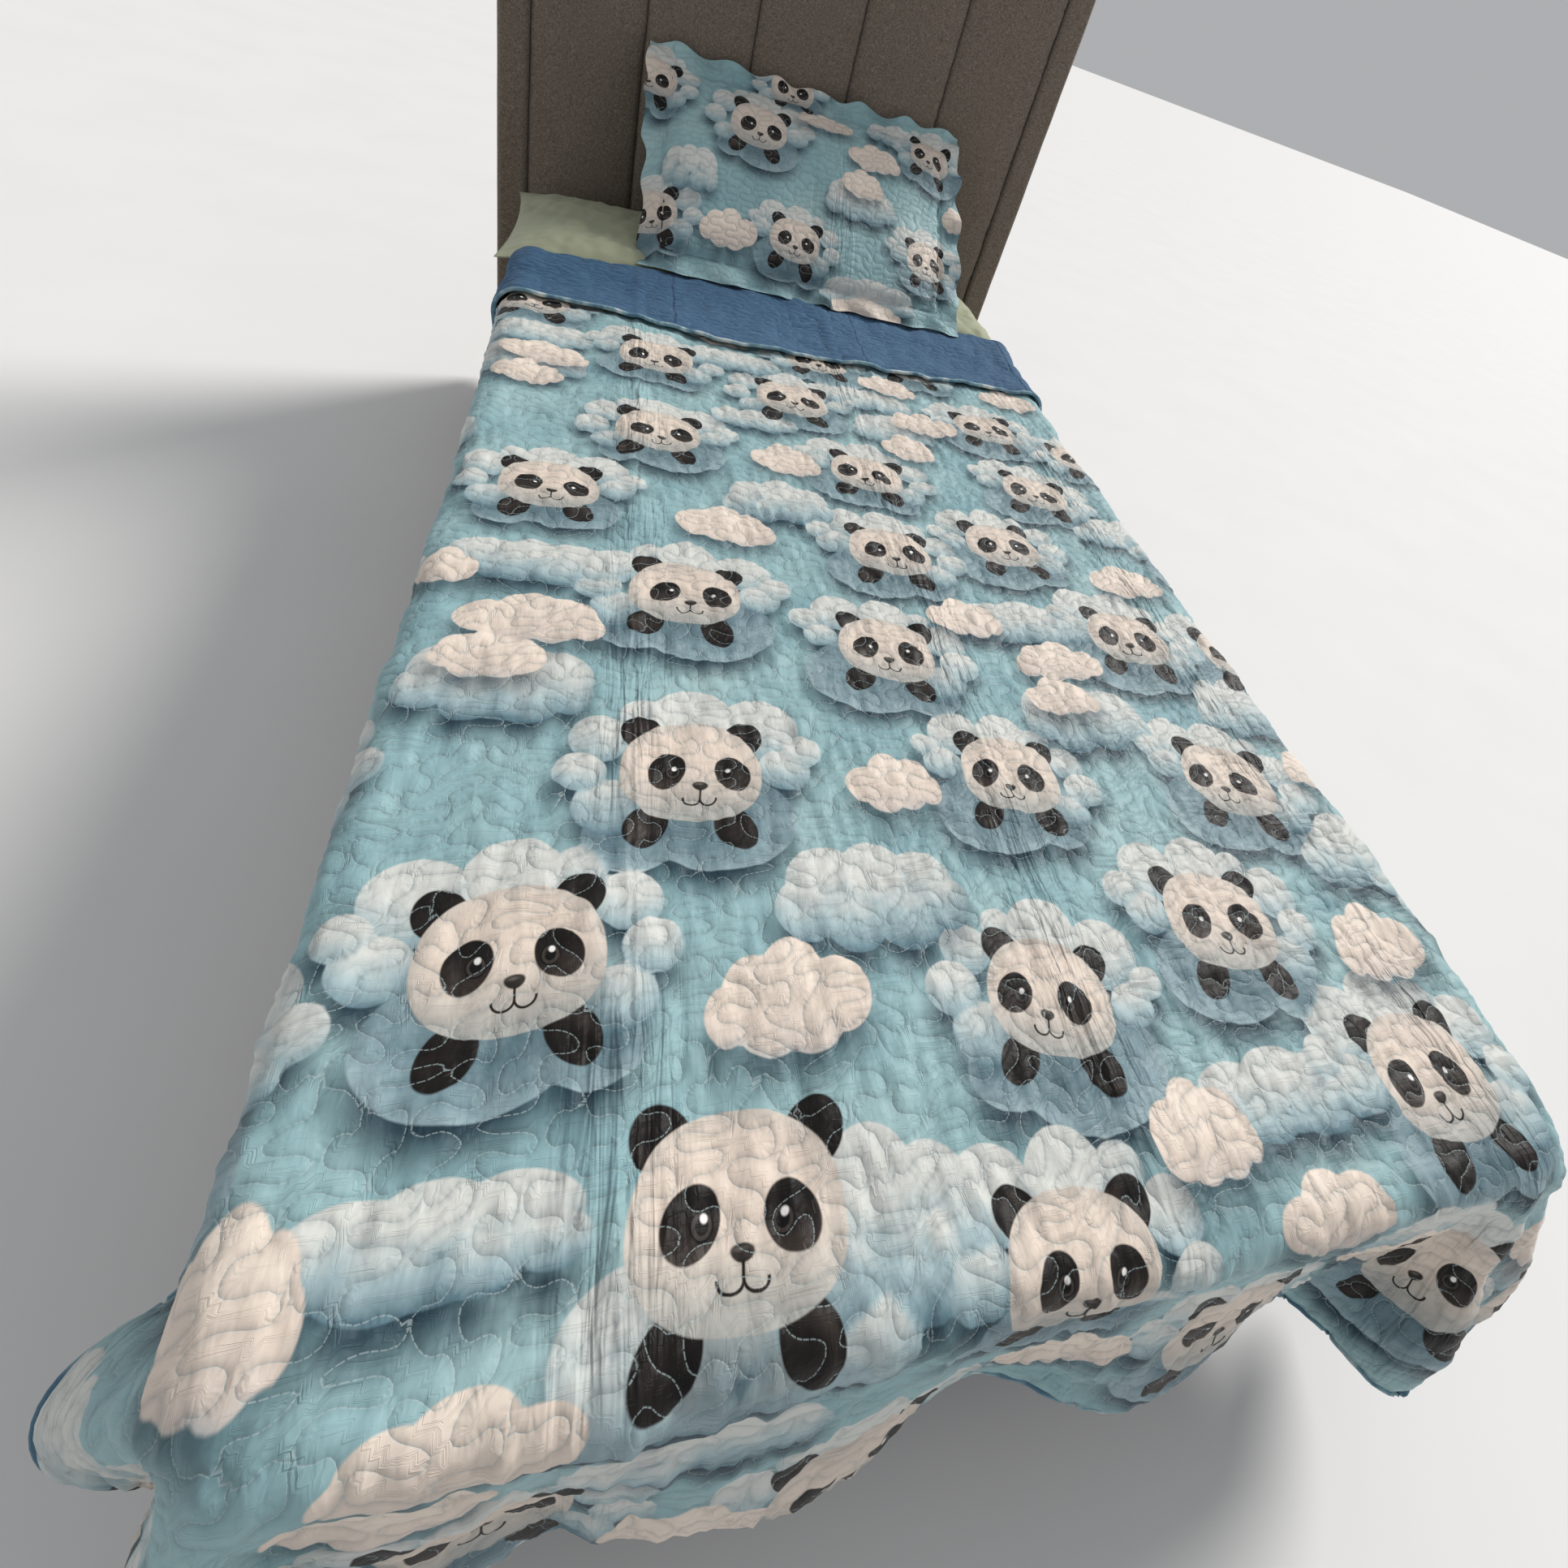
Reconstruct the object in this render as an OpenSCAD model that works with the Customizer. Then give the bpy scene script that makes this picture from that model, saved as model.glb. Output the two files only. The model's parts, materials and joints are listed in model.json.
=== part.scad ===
// Made-up single bed: upholstered headboard and base, mattress, long pillow, quilted
// coverlet with its head end turned down, and a flanged sham that lifts off.
// Millimetres, +Z up, +Y to the headboard, +X to the right seen from the foot.
// The origin is on the floor under the middle of the whole bed.

/* [Mattress] */
// Width of the mattress
mattress_w = 1000; // [900:10:1060]
// Length of the mattress
mattress_l = 2000; // [1900:10:2100]
// Height of the mattress
mattress_h = 200; // [160:5:240]
// Radius of the mattress corners seen from above
mattress_r = 80; // [40:5:120]

/* [Base] */
// Height of the base box, from the feet up to the mattress
base_h = 210; // [180:5:260]
// Height of the feet
foot_h = 90; // [60:5:140]
// Radius of a foot at its top
foot_r = 26; // [20:1:32]
// Thickness of the base boards
board_t = 22; // [18:1:25]
// Thickness of the padded cover on the base
base_pad_t = 8; // [5:1:12]
// Number of slats
slat_count = 14; // [10:1:18]
// Width of one slat
slat_w = 53; // [45:1:68]
// Thickness of one slat
slat_t = 8; // [6:1:10]

/* [Headboard] */
// Height of the headboard above the floor
head_h = 1190; // [950:10:1250]
// Width of one padded channel
channel_w = 216; // [205:1:230]
// Width of the plain border at each side
border_w = 60; // [50:1:80]
// Depth of the padding at the front
pad_t = 50; // [40:1:70]
// How much a channel crowns from its seam to its middle
channel_crown = 15; // [8:1:20]
// Thickness of the headboard panel
panel_t = 18; // [15:1:22]
// Thickness of the posts and battens behind the panel
batten_t = 30; // [24:1:40]

/* [Quilt] */
// Width the quilt is cut to
quilt_w = 1500; // [1400:10:1600]
// Length the quilt is cut to
quilt_l = 2150; // [2050:10:2250]
// How far the quilt's middle lies to the right of the mattress's middle
quilt_shift = 60; // [0:5:90]
// Width of the band that is turned down at the head
band_w = 255; // [150:5:300]
// Where the turned-down fold lies, from the foot of the mattress
fold_y = 1630; // [1600:5:1640]
// How far the hanging edges stand out at the hem
hem_flare = 50; // [20:5:60]

/* [Pillow and sham] */
// Length of the long pillow across the bed
pillow_w = 1000; // [900:10:1000]
// Depth of the long pillow along the bed
pillow_d = 385; // [350:5:395]
// Height of the long pillow
pillow_h = 65; // [55:1:75]
// Width of the sham over its flange
sham_w = 690; // [620:10:740]
// Height of the sham over its flange
sham_h = 500; // [460:10:520]
// Width of the flange
flange_w = 48; // [40:1:55]
// Greatest thickness of the filled part of the sham
sham_t = 64; // [50:2:90]
// Lean of the sham from flat
sham_lean = 40; // [36:1:45]

/* [Hidden] */

$fn = 48;
gap = 0.3;                                  // between neighbouring pieces
big = 3000;                                 // longer than anything that it cuts

// Heights
base_z = foot_h;
base_top = base_z + base_h;
mattress_z = base_top + gap;
mattress_top = mattress_z + mattress_h;

// Lengths along the bed, before the origin is moved to the middle
head_gap = 5;
head_y = mattress_l + head_gap;             // crown of the padding
panel_y = head_y + pad_t + gap;
batten_y = panel_y + panel_t + gap;
cloth_t = 1.5;
back_cloth_y = batten_y + batten_t + gap;
head_back = back_cloth_y + cloth_t;

// Bedding layers, as thicknesses and distances from the sheet
sheet_t = 0.8;
piping_r = 3;
sheet_off = piping_r + gap;
skin_t = 1;
wadding_t = 4;
wadding_off = skin_t + gap;
face_off = wadding_off + wadding_t + gap;
stack = face_off + skin_t;
band_off = stack + 0.4;
band_wadding_off = band_off + skin_t + gap;
band_reverse_off = band_wadding_off + wadding_t + gap;
bed_half = mattress_w / 2 + sheet_off + sheet_t + gap;
bed_top = mattress_top + gap + sheet_t + gap;
bed_foot = sheet_off + sheet_t + gap;       // how far the quilt starts past the foot
// Hanging lengths of the quilt
drop_left = quilt_w / 2 - quilt_shift - bed_half;
drop_right = quilt_w / 2 + quilt_shift - bed_half;
drop_foot = quilt_l - band_w - fold_y - bed_foot;
binding_w = 4;
slope = hem_flare / drop_foot;              // of the hanging edges
foot_front = bed_foot + stack + slope * (drop_foot + stack + binding_w + gap);
ramp_start = fold_y - 130;
ramp_end = fold_y - 30;
ramp_rise = 32;
fold_rise = 36;

// The bed is drawn with y = 0 at the foot of the mattress, then moved
y_mid = (head_back - foot_front) / 2;

// Headboard
channels = 5;
head_half = channels * channel_w / 2 + border_w;
wrap_t = 14;
skirt_top = base_top + 20;
post_w = 60;
post_x = head_half - 150;
bolt_r = 4;
bolt_z = [base_z + 60, base_z + base_h - 60];

// Base
base_half = mattress_w / 2 - 2;
base_y0 = 2;
base_y1 = mattress_l + 4;
board_out = base_half - base_pad_t - gap;
ledger_t = 30;
slat_top = base_top;
slat_z = slat_top - slat_t;
ledger_top = slat_z - 6;
slat_end = board_out - board_t - 6;
holder_l = 60;
slat_y0 = 90;
slat_pitch = (base_y1 - base_y0 - 2 * slat_y0 - 40) / (slat_count - 1);
foot_x = board_out - board_t - 40;
foot_ys = [base_y0 + base_pad_t + board_t + 40, base_y1 - board_t - 40];

// Sham
pad_w = sham_w - 2 * flange_w;
pad_h = sham_h - 2 * flange_w;
front_t = 3.5;
back_t = 1.5;
seam = 0.15;                                // half the gap between front and back
sham_y = head_y - 0.5 - sham_h / 2 * cos(sham_lean) - (seam + back_t) * sin(sham_lean);
sham_z = bed_top + fold_rise + band_reverse_off + skin_t + 0.5
    + sham_h / 2 * sin(sham_lean) + (seam + back_t) * cos(sham_lean);
sham_x = 20;

fabric_grey = [0.40, 0.37, 0.35];
wood = [0.80, 0.66, 0.47];
aqua = [0.48, 0.70, 0.77];
denim = [0.22, 0.36, 0.55];
sage = [0.66, 0.68, 0.56];
white = [0.93, 0.93, 0.91];
steel = [0.62, 0.63, 0.65];

// ---- helpers -------------------------------------------------------------

// Everything is drawn from the foot of the mattress and moved once
module place() {
    translate([0, -y_mid, 0]) children();
}

module box(x0, x1, y0, y1, z0, z1) {
    translate([x0, y0, z0]) cube([x1 - x0, y1 - y0, z1 - z0]);
}

// Box with round corners seen from above
module round_box(half, y0, y1, z0, z1, r) {
    box(-half, half, y0 + r, y1 - r, z0, z1);
    box(-half + r, half - r, y0, y1, z0, z1);
    for (x = [-half + r, half - r], y = [y0 + r, y1 - r])
        translate([x, y, z0]) cylinder(r = r, h = z1 - z0, $fn = 96);
}

function cap_radius(chord, rise) = (chord * chord / 4 + rise * rise) / (2 * rise);

// Cylinder along X whose top reaches z
module barrel_x(r, z) {
    translate([-big / 2, 0, z - r]) rotate([0, 90, 0]) cylinder(r = r, h = big, $fn = 900);
}

// Cylinder along Y whose top reaches z
module barrel_y(r, z) {
    translate([0, -big / 2, z - r]) rotate([-90, 0, 0]) cylinder(r = r, h = big, $fn = 900);
}

// A pad crowned above and below, grown by d. The long crown stands higher than the short
// one, so that the two never touch at a single point.
module pad(w, h, rise, d) {
    long_rise = rise + 8;
    r_short = cap_radius(h, rise);
    r_long = cap_radius(w, long_rise);
    intersection() {
        barrel_x(r_short + d, rise + d);
        barrel_y(r_long + d, long_rise + d);
        mirror([0, 0, 1]) barrel_x(r_short + d, rise + d);
        mirror([0, 0, 1]) barrel_y(r_long + d, long_rise + d);
    }
}

// ---- headboard -----------------------------------------------------------

module bolt_holes(r, y0, y1) {
    for (x = [-post_x, post_x], z = bolt_z)
        translate([x, y0, z]) rotate([-90, 0, 0]) cylinder(r = r, h = y1 - y0);
}

module headboard_panel() {
    color(wood) place() difference() {
        box(-head_half + wrap_t + gap, head_half - wrap_t - gap,
            panel_y, panel_y + panel_t, 60, head_h - 12);
        bolt_holes(bolt_r + 0.5, panel_y - 1, panel_y + panel_t + 1);
    }
}

// One padded channel, crowned across its width and rounded over at the top
module headboard_channel(i) {
    x = (i - (channels + 1) / 2) * channel_w;
    w = channel_w - gap;
    r = cap_radius(w, channel_crown);
    top_r = pad_t / 2;
    color(fabric_grey) place() intersection() {
        translate([x, head_y + r, 0]) cylinder(r = r, h = head_h, $fn = 900);
        union() {
            box(x - w / 2, x + w / 2, head_y, head_y + pad_t, skirt_top + gap, head_h - top_r);
            box(x - w / 2, x + w / 2, head_y + top_r, head_y + pad_t,
                head_h - top_r - 1, head_h);
            translate([x - w / 2, head_y + top_r, head_h - top_r])
                rotate([0, 90, 0]) cylinder(r = top_r, h = w);
        }
    }
}

// Border pad at one side, wrapped round the edge of the panel
module headboard_border(side) {
    x0 = channels * channel_w / 2 + gap;
    nose_r = 12;
    color(fabric_grey) place() mirror([side < 0 ? 1 : 0, 0, 0]) difference() {
        union() {
            box(x0, head_half - nose_r, head_y + 4, head_y + pad_t, 60, head_h);
            box(x0, head_half, head_y + 4 + nose_r, head_y + pad_t, 60, head_h);
            translate([head_half - nose_r, head_y + 4 + nose_r, 60])
                cylinder(r = nose_r, h = head_h - 60);
            box(head_half - wrap_t, head_half, head_y + pad_t - 1, back_cloth_y - gap, 60, head_h);
        }
        box(0, head_half - wrap_t, head_y + pad_t, back_cloth_y + 10, 0, head_h + 10);
    }
}

// Flat pad below the channels, between the base and the panel
module headboard_skirt_pad() {
    half = channels * channel_w / 2 - gap;
    color(fabric_grey) place() difference() {
        box(-half, half, head_y + 2, head_y + pad_t, 60, skirt_top);
        bolt_holes(bolt_r + 0.5, head_y, head_y + pad_t + 1);
    }
}

module headboard_post(side) {
    color(wood) place() difference() {
        box(side * post_x - post_w / 2, side * post_x + post_w / 2,
            batten_y, batten_y + batten_t, 0, head_h - 60);
        bolt_holes(bolt_r + 0.5, batten_y - 1, batten_y + batten_t + 1);
    }
}

module headboard_batten(z) {
    half = post_x - post_w / 2 - gap;
    color(wood) place()
        box(-half, half, batten_y, batten_y + batten_t, z, z + post_w);
}

module headboard_back_cloth() {
    color([0.16, 0.16, 0.17]) place()
        box(-head_half + 6, head_half - 6, back_cloth_y, back_cloth_y + cloth_t, 330, head_h - 6);
}

// Four bolts through the posts, the panel and the pad into the base
module headboard_bolts() {
    tip_y = base_y1 - board_t + 2;
    color(steel) place() {
        bolt_holes(bolt_r, tip_y, batten_y + batten_t + 1);
        bolt_holes(9, batten_y + batten_t + gap, batten_y + batten_t + 5);
    }
}

// ---- base ----------------------------------------------------------------

module base_board_side(side) {
    color(wood) place() mirror([side < 0 ? 1 : 0, 0, 0]) box(board_out - board_t, board_out,
        base_y0 + base_pad_t + gap + board_t + gap, base_y1 - board_t - gap, base_z, base_top - 2);
}

module base_board_foot() {
    y0 = base_y0 + base_pad_t + gap;
    color(wood) place() difference() {
        box(-board_out, board_out, y0, y0 + board_t, base_z, base_top - 2);
        screw_holes();
    }
}

module base_board_head() {
    color(wood) place() difference() {
        box(-board_out, board_out, base_y1 - board_t, base_y1, base_z, base_top - 2);
        bolt_holes(bolt_r + 0.05, base_y1 - board_t - 1, base_y1 + 1);
        screw_holes();
    }
}

module base_cover_side(side) {
    color(fabric_grey) place() mirror([side < 0 ? 1 : 0, 0, 0])
        box(board_out + gap, base_half, base_y0 + base_pad_t + gap, base_y1, base_z - 1, base_top - 1);
}

module base_cover_foot() {
    color(fabric_grey) place()
        box(-base_half, base_half, base_y0, base_y0 + base_pad_t, base_z - 1, base_top - 1);
}

module base_dust_cloth() {
    color([0.16, 0.16, 0.17]) place() difference() {
        box(-board_out, board_out, base_y0 + base_pad_t + gap, base_y1, base_z - gap - 0.8, base_z - gap);
        for (x = [-foot_x, foot_x], y = foot_ys)
            translate([x, y, base_z - 5]) cylinder(r = foot_r + 1, h = 10);
    }
}

// Wooden blocks that hold the boards together at the corners and take the feet
module corner_blocks() {
    half = 38;
    color(wood) place() for (x = [-foot_x, foot_x], y = foot_ys) difference() {
        box(x - half, x + half, y - half, y + half, base_z, base_z + 60);
        translate([x, y, base_z - 1]) cylinder(r = 4.1, h = 38);
        screw_holes();
    }
}

// Screws through the end boards into the corner blocks
module corner_screws() {
    inner = base_y0 + base_pad_t + gap;
    color(steel) place() for (x = [-foot_x, foot_x]) {
        translate([x, inner, base_z + 45]) rotate([-90, 0, 0]) cylinder(r = 2.5, h = 50);
        translate([x, base_y1 - 50, base_z + 45]) rotate([-90, 0, 0]) cylinder(r = 2.5, h = 50);
    }
}

module screw_holes() {
    for (x = [-foot_x, foot_x])
        translate([x, -10, base_z + 45]) rotate([-90, 0, 0]) cylinder(r = 2.55, h = big);
}

module ledger(side) {
    x1 = board_out - board_t - gap;
    y0 = foot_ys[0] + 38 + gap;
    y1 = foot_ys[1] - 38 - gap;
    color(wood) place() mirror([side < 0 ? 1 : 0, 0, 0])
        box(x1 - ledger_t, x1, y0, y1, ledger_top - ledger_t, ledger_top);
}

function slat_y(i) = base_y0 + base_pad_t + slat_y0 + i * slat_pitch;

module slats() {
    color([0.86, 0.76, 0.58]) place() for (i = [0 : slat_count - 1])
        box(-slat_end, slat_end, slat_y(i) - slat_w / 2, slat_y(i) + slat_w / 2,
            slat_z, slat_top);
}

// Plastic caps that carry the slat ends on the ledgers
module slat_holders() {
    x1 = board_out - board_t - gap;
    color([0.12, 0.12, 0.13]) place() for (i = [0 : slat_count - 1], side = [-1, 1])
        mirror([side < 0 ? 1 : 0, 0, 0]) difference() {
            box(x1 - 45, x1, slat_y(i) - holder_l / 2 - 4, slat_y(i) + holder_l / 2 + 4,
                ledger_top + gap, slat_top - 0.5);
            box(x1 - 46, slat_end + gap, slat_y(i) - slat_w / 2 - gap, slat_y(i) + slat_w / 2 + gap,
                slat_z - gap, slat_top + 1);
        }
}

module bed_foot(sx, i) {
    y = foot_ys[i];
    color([0.10, 0.10, 0.11]) place() translate([sx * foot_x, y, 0]) difference() {
        union() {
            cylinder(r = foot_r - 4, h = 4);
            translate([0, 0, 4]) cylinder(r1 = foot_r - 7, r2 = foot_r, h = foot_h - 4 - gap);
        }
        translate([0, 0, foot_h - 30]) cylinder(r = 4.1, h = 40);
    }
}

module foot_studs() {
    color(steel) place() for (x = [-foot_x, foot_x], y = foot_ys)
        translate([x, y, foot_h - 28]) cylinder(r = 4, h = 62);
}

// ---- mattress and sheet --------------------------------------------------

module mattress_solid(d) {
    round_box(mattress_w / 2 + d, -d, mattress_l + d, mattress_z - d, mattress_top + d, mattress_r);
}

module mattress_core() {
    color([0.93, 0.90, 0.78]) place() mattress_solid(-5);
}

module mattress_cover() {
    color(white) place() difference() {
        mattress_solid(0);
        mattress_solid(-4.5);
    }
}

module mattress_piping(z) {
    color(white) place() difference() {
        round_box(mattress_w / 2 + piping_r, -piping_r, mattress_l + piping_r,
            z, z + 2 * piping_r, mattress_r + piping_r);
        round_box(mattress_w / 2 + gap, -gap, mattress_l + gap, z - 1, z + 2 * piping_r + 1,
            mattress_r + gap);
    }
}

module fitted_sheet() {
    color(sage) place() difference() {
        round_box(mattress_w / 2 + sheet_off + sheet_t, -sheet_off - sheet_t, head_y - gap,
            mattress_z + 30, mattress_top + gap + sheet_t, mattress_r + sheet_off);
        round_box(mattress_w / 2 + sheet_off, -sheet_off, head_y - gap - sheet_t,
            mattress_z - 10, mattress_top + gap, mattress_r + sheet_off - sheet_t);
    }
}

// ---- long pillow ---------------------------------------------------------

pillow_y = head_y - 12 - pillow_d / 2;
pillow_r = cap_radius(pillow_d, pillow_h);
case_t = 1.2;

// Flat underneath and crowned above, shrunk by d
module long_pillow(d) {
    translate([0, pillow_y, bed_top]) intersection() {
        barrel_x(pillow_r - d, pillow_h - d);
        box(-pillow_w / 2 + d, pillow_w / 2 - d, -pillow_d, pillow_d, d, pillow_h);
    }
}

module pillow_filling() {
    color(white) place() long_pillow(case_t + gap);
}

module pillow_case() {
    color(sage) place() difference() {
        long_pillow(0);
        long_pillow(case_t);
    }
}

// ---- quilt ---------------------------------------------------------------

// The bed with its sheet, grown by d: sloping sides, a sloping foot, and a rise over the
// front of the pillow
module bed_block(d) {
    low = bed_top - 400;
    flare = slope * (bed_top + d - low);
    intersection() {
        rotate([90, 0, 90]) translate([0, 0, -big / 2]) linear_extrude(big) polygon([
            [-bed_foot - d - flare, low], [-bed_foot - d, bed_top + d],
            [ramp_start, bed_top + d], [ramp_end, bed_top + d + ramp_rise],
            [fold_y + 20, bed_top + d + fold_rise], [fold_y + 20, low]]);
        translate([0, big, 0]) rotate([90, 0, 0]) linear_extrude(2 * big) polygon([
            [-bed_half - d - flare, low], [-bed_half - d, bed_top + d],
            [-bed_half - d, bed_top + 90], [bed_half + d, bed_top + 90],
            [bed_half + d, bed_top + d], [bed_half + d + flare, low]]);
    }
}

// The hems: the sides hang to their own lengths past the foot corners
module hem_cut(d) {
    intersection() {
        children();
        union() {
            box(-big / 2, -bed_half + 20, 60, big, bed_top - drop_left - d, big);
            box(bed_half - 20, big / 2, 60, big, bed_top - drop_right - d, big);
            box(-big / 2, big / 2, -big / 2, 60, bed_top - drop_foot - d, big);
            box(-bed_half, bed_half, 0, big, 0, big);
        }
    }
}

// One layer of the quilt: over the bed at off, back over itself at top_off, and joined
// round the fold between y0 and y1
module quilt_layer(off, top_off, t, y0) {
    hem_cut(0) union() {
        intersection() {
            difference() {
                bed_block(off + t);
                bed_block(off);
            }
            box(-big / 2, big / 2, -big / 2, y0 + t, 0, big);
        }
        intersection() {
            difference() {
                bed_block(top_off + t);
                bed_block(top_off);
            }
            box(-big / 2, big / 2, fold_y - band_w, y0 + t, 0, big);
        }
        intersection() {
            difference() {
                bed_block(top_off + t);
                bed_block(off);
            }
            box(-big / 2, big / 2, y0, y0 + t, 0, big);
        }
    }
}

module quilt_reverse() {
    color(denim) place()
        quilt_layer(0, band_reverse_off, skin_t, fold_y + wadding_t + 2 * gap);
}

module quilt_wadding() {
    color(white) place()
        quilt_layer(wadding_off, band_wadding_off, wadding_t, fold_y + gap);
}

module quilt_face() {
    color(aqua) place() quilt_layer(face_off, band_off, skin_t, fold_y - skin_t);
}

// Narrow binding along the hems and along the edge of the turned-down band
module quilt_binding() {
    color([0.78, 0.86, 0.89]) place() {
        difference() {
            hem_cut(binding_w + gap) intersection() {
                difference() {
                    bed_block(stack);
                    bed_block(0);
                }
                box(-big / 2, big / 2, -big / 2, fold_y, 0, bed_top - drop_left + 10);
            }
            hem_cut(gap) bed_block(stack + 5);
        }
        hem_cut(0) intersection() {
            difference() {
                bed_block(band_reverse_off + skin_t);
                bed_block(band_off);
            }
            box(-big / 2, big / 2, fold_y - band_w - binding_w - gap, fold_y - band_w - gap, 0, big);
        }
    }
}

// ---- sham ----------------------------------------------------------------

// The sham's own frame: X across, Y up its slope, Z out of its front
module place_sham() {
    place() translate([sham_x, sham_y, sham_z]) rotate([sham_lean, 0, 0]) children();
}

module sham_pad(d) {
    pad(pad_w, pad_h, sham_t / 2, d);
}

module flange_ring(z0, z1, inset) {
    difference() {
        box(-sham_w / 2, sham_w / 2, -sham_h / 2, sham_h / 2, z0, z1);
        box(-pad_w / 2 + inset, pad_w / 2 - inset, -pad_h / 2 + inset, pad_h / 2 - inset,
            z0 - 1, z1 + 1);
    }
}

module sham_filling() {
    color(white) place_sham() sham_pad(-front_t - 1.6);
}

// Two panels sewn together round the edge
module sham_ticking() {
    color(white) place_sham() for (z = [[-big / 2, -seam], [seam, big / 2]]) difference() {
        intersection() {
            sham_pad(-front_t - gap);
            box(-big / 2, big / 2, -big / 2, big / 2, z[0], z[1]);
        }
        sham_pad(-front_t - 1.3);
    }
}

module sham_front() {
    color(aqua) place_sham() {
        intersection() {
            difference() {
                sham_pad(0);
                sham_pad(-front_t);
            }
            box(-big / 2, big / 2, -big / 2, big / 2, seam, big);
        }
        difference() {
            flange_ring(seam, seam + front_t, 4);
            sham_pad(-front_t);
        }
    }
}

// The back is two overlapping panels, open between them like an envelope
module sham_back(y0, y1, d) {
    color(aqua) place_sham() intersection() {
        difference() {
            sham_pad(d);
            sham_pad(d - back_t);
        }
        box(-big / 2, big / 2, y0, y1, -big, -seam);
    }
}

module sham_back_upper() {
    sham_back(-60, big, 0);
}

module sham_back_lower() {
    sham_back(-big, 60, back_t + gap);
}

module sham_flange_back() {
    color(aqua) place_sham() flange_ring(-seam - back_t, -seam, -8);
}

// ---- the bed -------------------------------------------------------------

headboard_panel();
for (i = [1 : channels])
    headboard_channel(i);
headboard_border(-1);  // headboard_border_left
headboard_border(1);  // headboard_border_right
headboard_skirt_pad();
headboard_post(-1);  // headboard_post_left
headboard_post(1);  // headboard_post_right
headboard_batten(head_h - 160);  // headboard_batten_upper
headboard_batten(360);  // headboard_batten_lower
headboard_back_cloth();
headboard_bolts();
base_board_side(-1);  // base_board_left
base_board_side(1);  // base_board_right
base_board_foot();
base_board_head();
base_cover_side(-1);  // base_cover_left
base_cover_side(1);  // base_cover_right
base_cover_foot();
base_dust_cloth();
corner_blocks();
corner_screws();
ledger(-1);  // ledger_left
ledger(1);  // ledger_right
slats();
slat_holders();
bed_foot(-1, 0);  // foot_front_left
bed_foot(1, 0);  // foot_front_right
bed_foot(-1, 1);  // foot_back_left
bed_foot(1, 1);  // foot_back_right
foot_studs();
mattress_core();
mattress_cover();
mattress_piping(mattress_top - 12);  // mattress_piping_upper
mattress_piping(mattress_z + 6);  // mattress_piping_lower
fitted_sheet();
pillow_filling();
pillow_case();
quilt_reverse();
quilt_wadding();
quilt_face();
quilt_binding();
sham_filling();
sham_ticking();
sham_front();
sham_back_upper();
sham_back_lower();
sham_flange_back();
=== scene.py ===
"""A made-up single bed with a quilt printed with pandas on clouds, in metres.

Places come from the frame. The quilt is drawn on its flat cloth, with u across it and v up
from its foot hem, draped over the bed by a cloth simulation, and folded back at the head.
"""
import json
import math
from functools import partialmethod

import bmesh
import bpy
import numpy as np
from mathutils import Matrix, Vector, kdtree


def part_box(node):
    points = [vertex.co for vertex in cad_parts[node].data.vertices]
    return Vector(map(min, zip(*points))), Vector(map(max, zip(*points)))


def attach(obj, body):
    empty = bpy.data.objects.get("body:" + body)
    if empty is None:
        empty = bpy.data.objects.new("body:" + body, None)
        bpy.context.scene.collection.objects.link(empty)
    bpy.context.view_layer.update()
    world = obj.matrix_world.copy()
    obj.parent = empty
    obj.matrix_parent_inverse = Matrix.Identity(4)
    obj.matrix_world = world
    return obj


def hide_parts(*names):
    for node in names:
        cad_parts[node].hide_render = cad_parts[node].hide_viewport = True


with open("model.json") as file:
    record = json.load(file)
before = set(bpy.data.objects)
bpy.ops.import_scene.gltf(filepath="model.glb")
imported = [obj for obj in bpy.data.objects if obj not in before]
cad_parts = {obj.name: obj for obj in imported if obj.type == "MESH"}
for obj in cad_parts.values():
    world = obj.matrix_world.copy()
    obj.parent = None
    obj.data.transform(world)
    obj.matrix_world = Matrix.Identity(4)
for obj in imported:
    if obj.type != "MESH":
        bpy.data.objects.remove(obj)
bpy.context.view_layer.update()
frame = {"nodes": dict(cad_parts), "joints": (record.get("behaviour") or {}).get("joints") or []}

# ---- places ----


def box(node):
    """The low and the high corner of a CAD node."""
    return (np.array(corner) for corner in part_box(node))


mattress_low, mattress_high = box("mattress_cover")
pillow_low, pillow_high = box("pillow_case")
flange_low, flange_high = box("sham_flange_back")

FOOT_Y = mattress_low[1]                # the foot edge of the mattress
SHEET_OUT = 0.0041                      # from the mattress to the outside of the sheet
SHEET_CORNER = 0.07                     # radius of the top's corners, before its edge
SHEET_EDGE = 0.012                      # radius of the edge round its top
BED_HALF = mattress_high[0] + SHEET_OUT
BED_TOP = pillow_low[2]                 # the top of the sheet
FOLD_Y = FOOT_Y + 1.63                  # where the quilt turns back
RISE = 0.012                            # the quilt's rise over the edge of the pillow

QUILT_W = 1.5
QUILT_L = 2.15
BAND = 0.255                            # the turned-down band
LOWER_L = QUILT_L - BAND                # from the foot hem to the fold
SHIFT = 0.06                            # of the quilt's middle to the right
FOOT_V = LOWER_L - (FOLD_Y - FOOT_Y)    # v at the foot edge of the mattress
LOFT = 0.0055                           # thickness of the quilt
CREASE_GAP = 0.36                       # between two packing creases
NO_STITCH = 0.02                        # a distance from the quilting at which none shows

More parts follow.
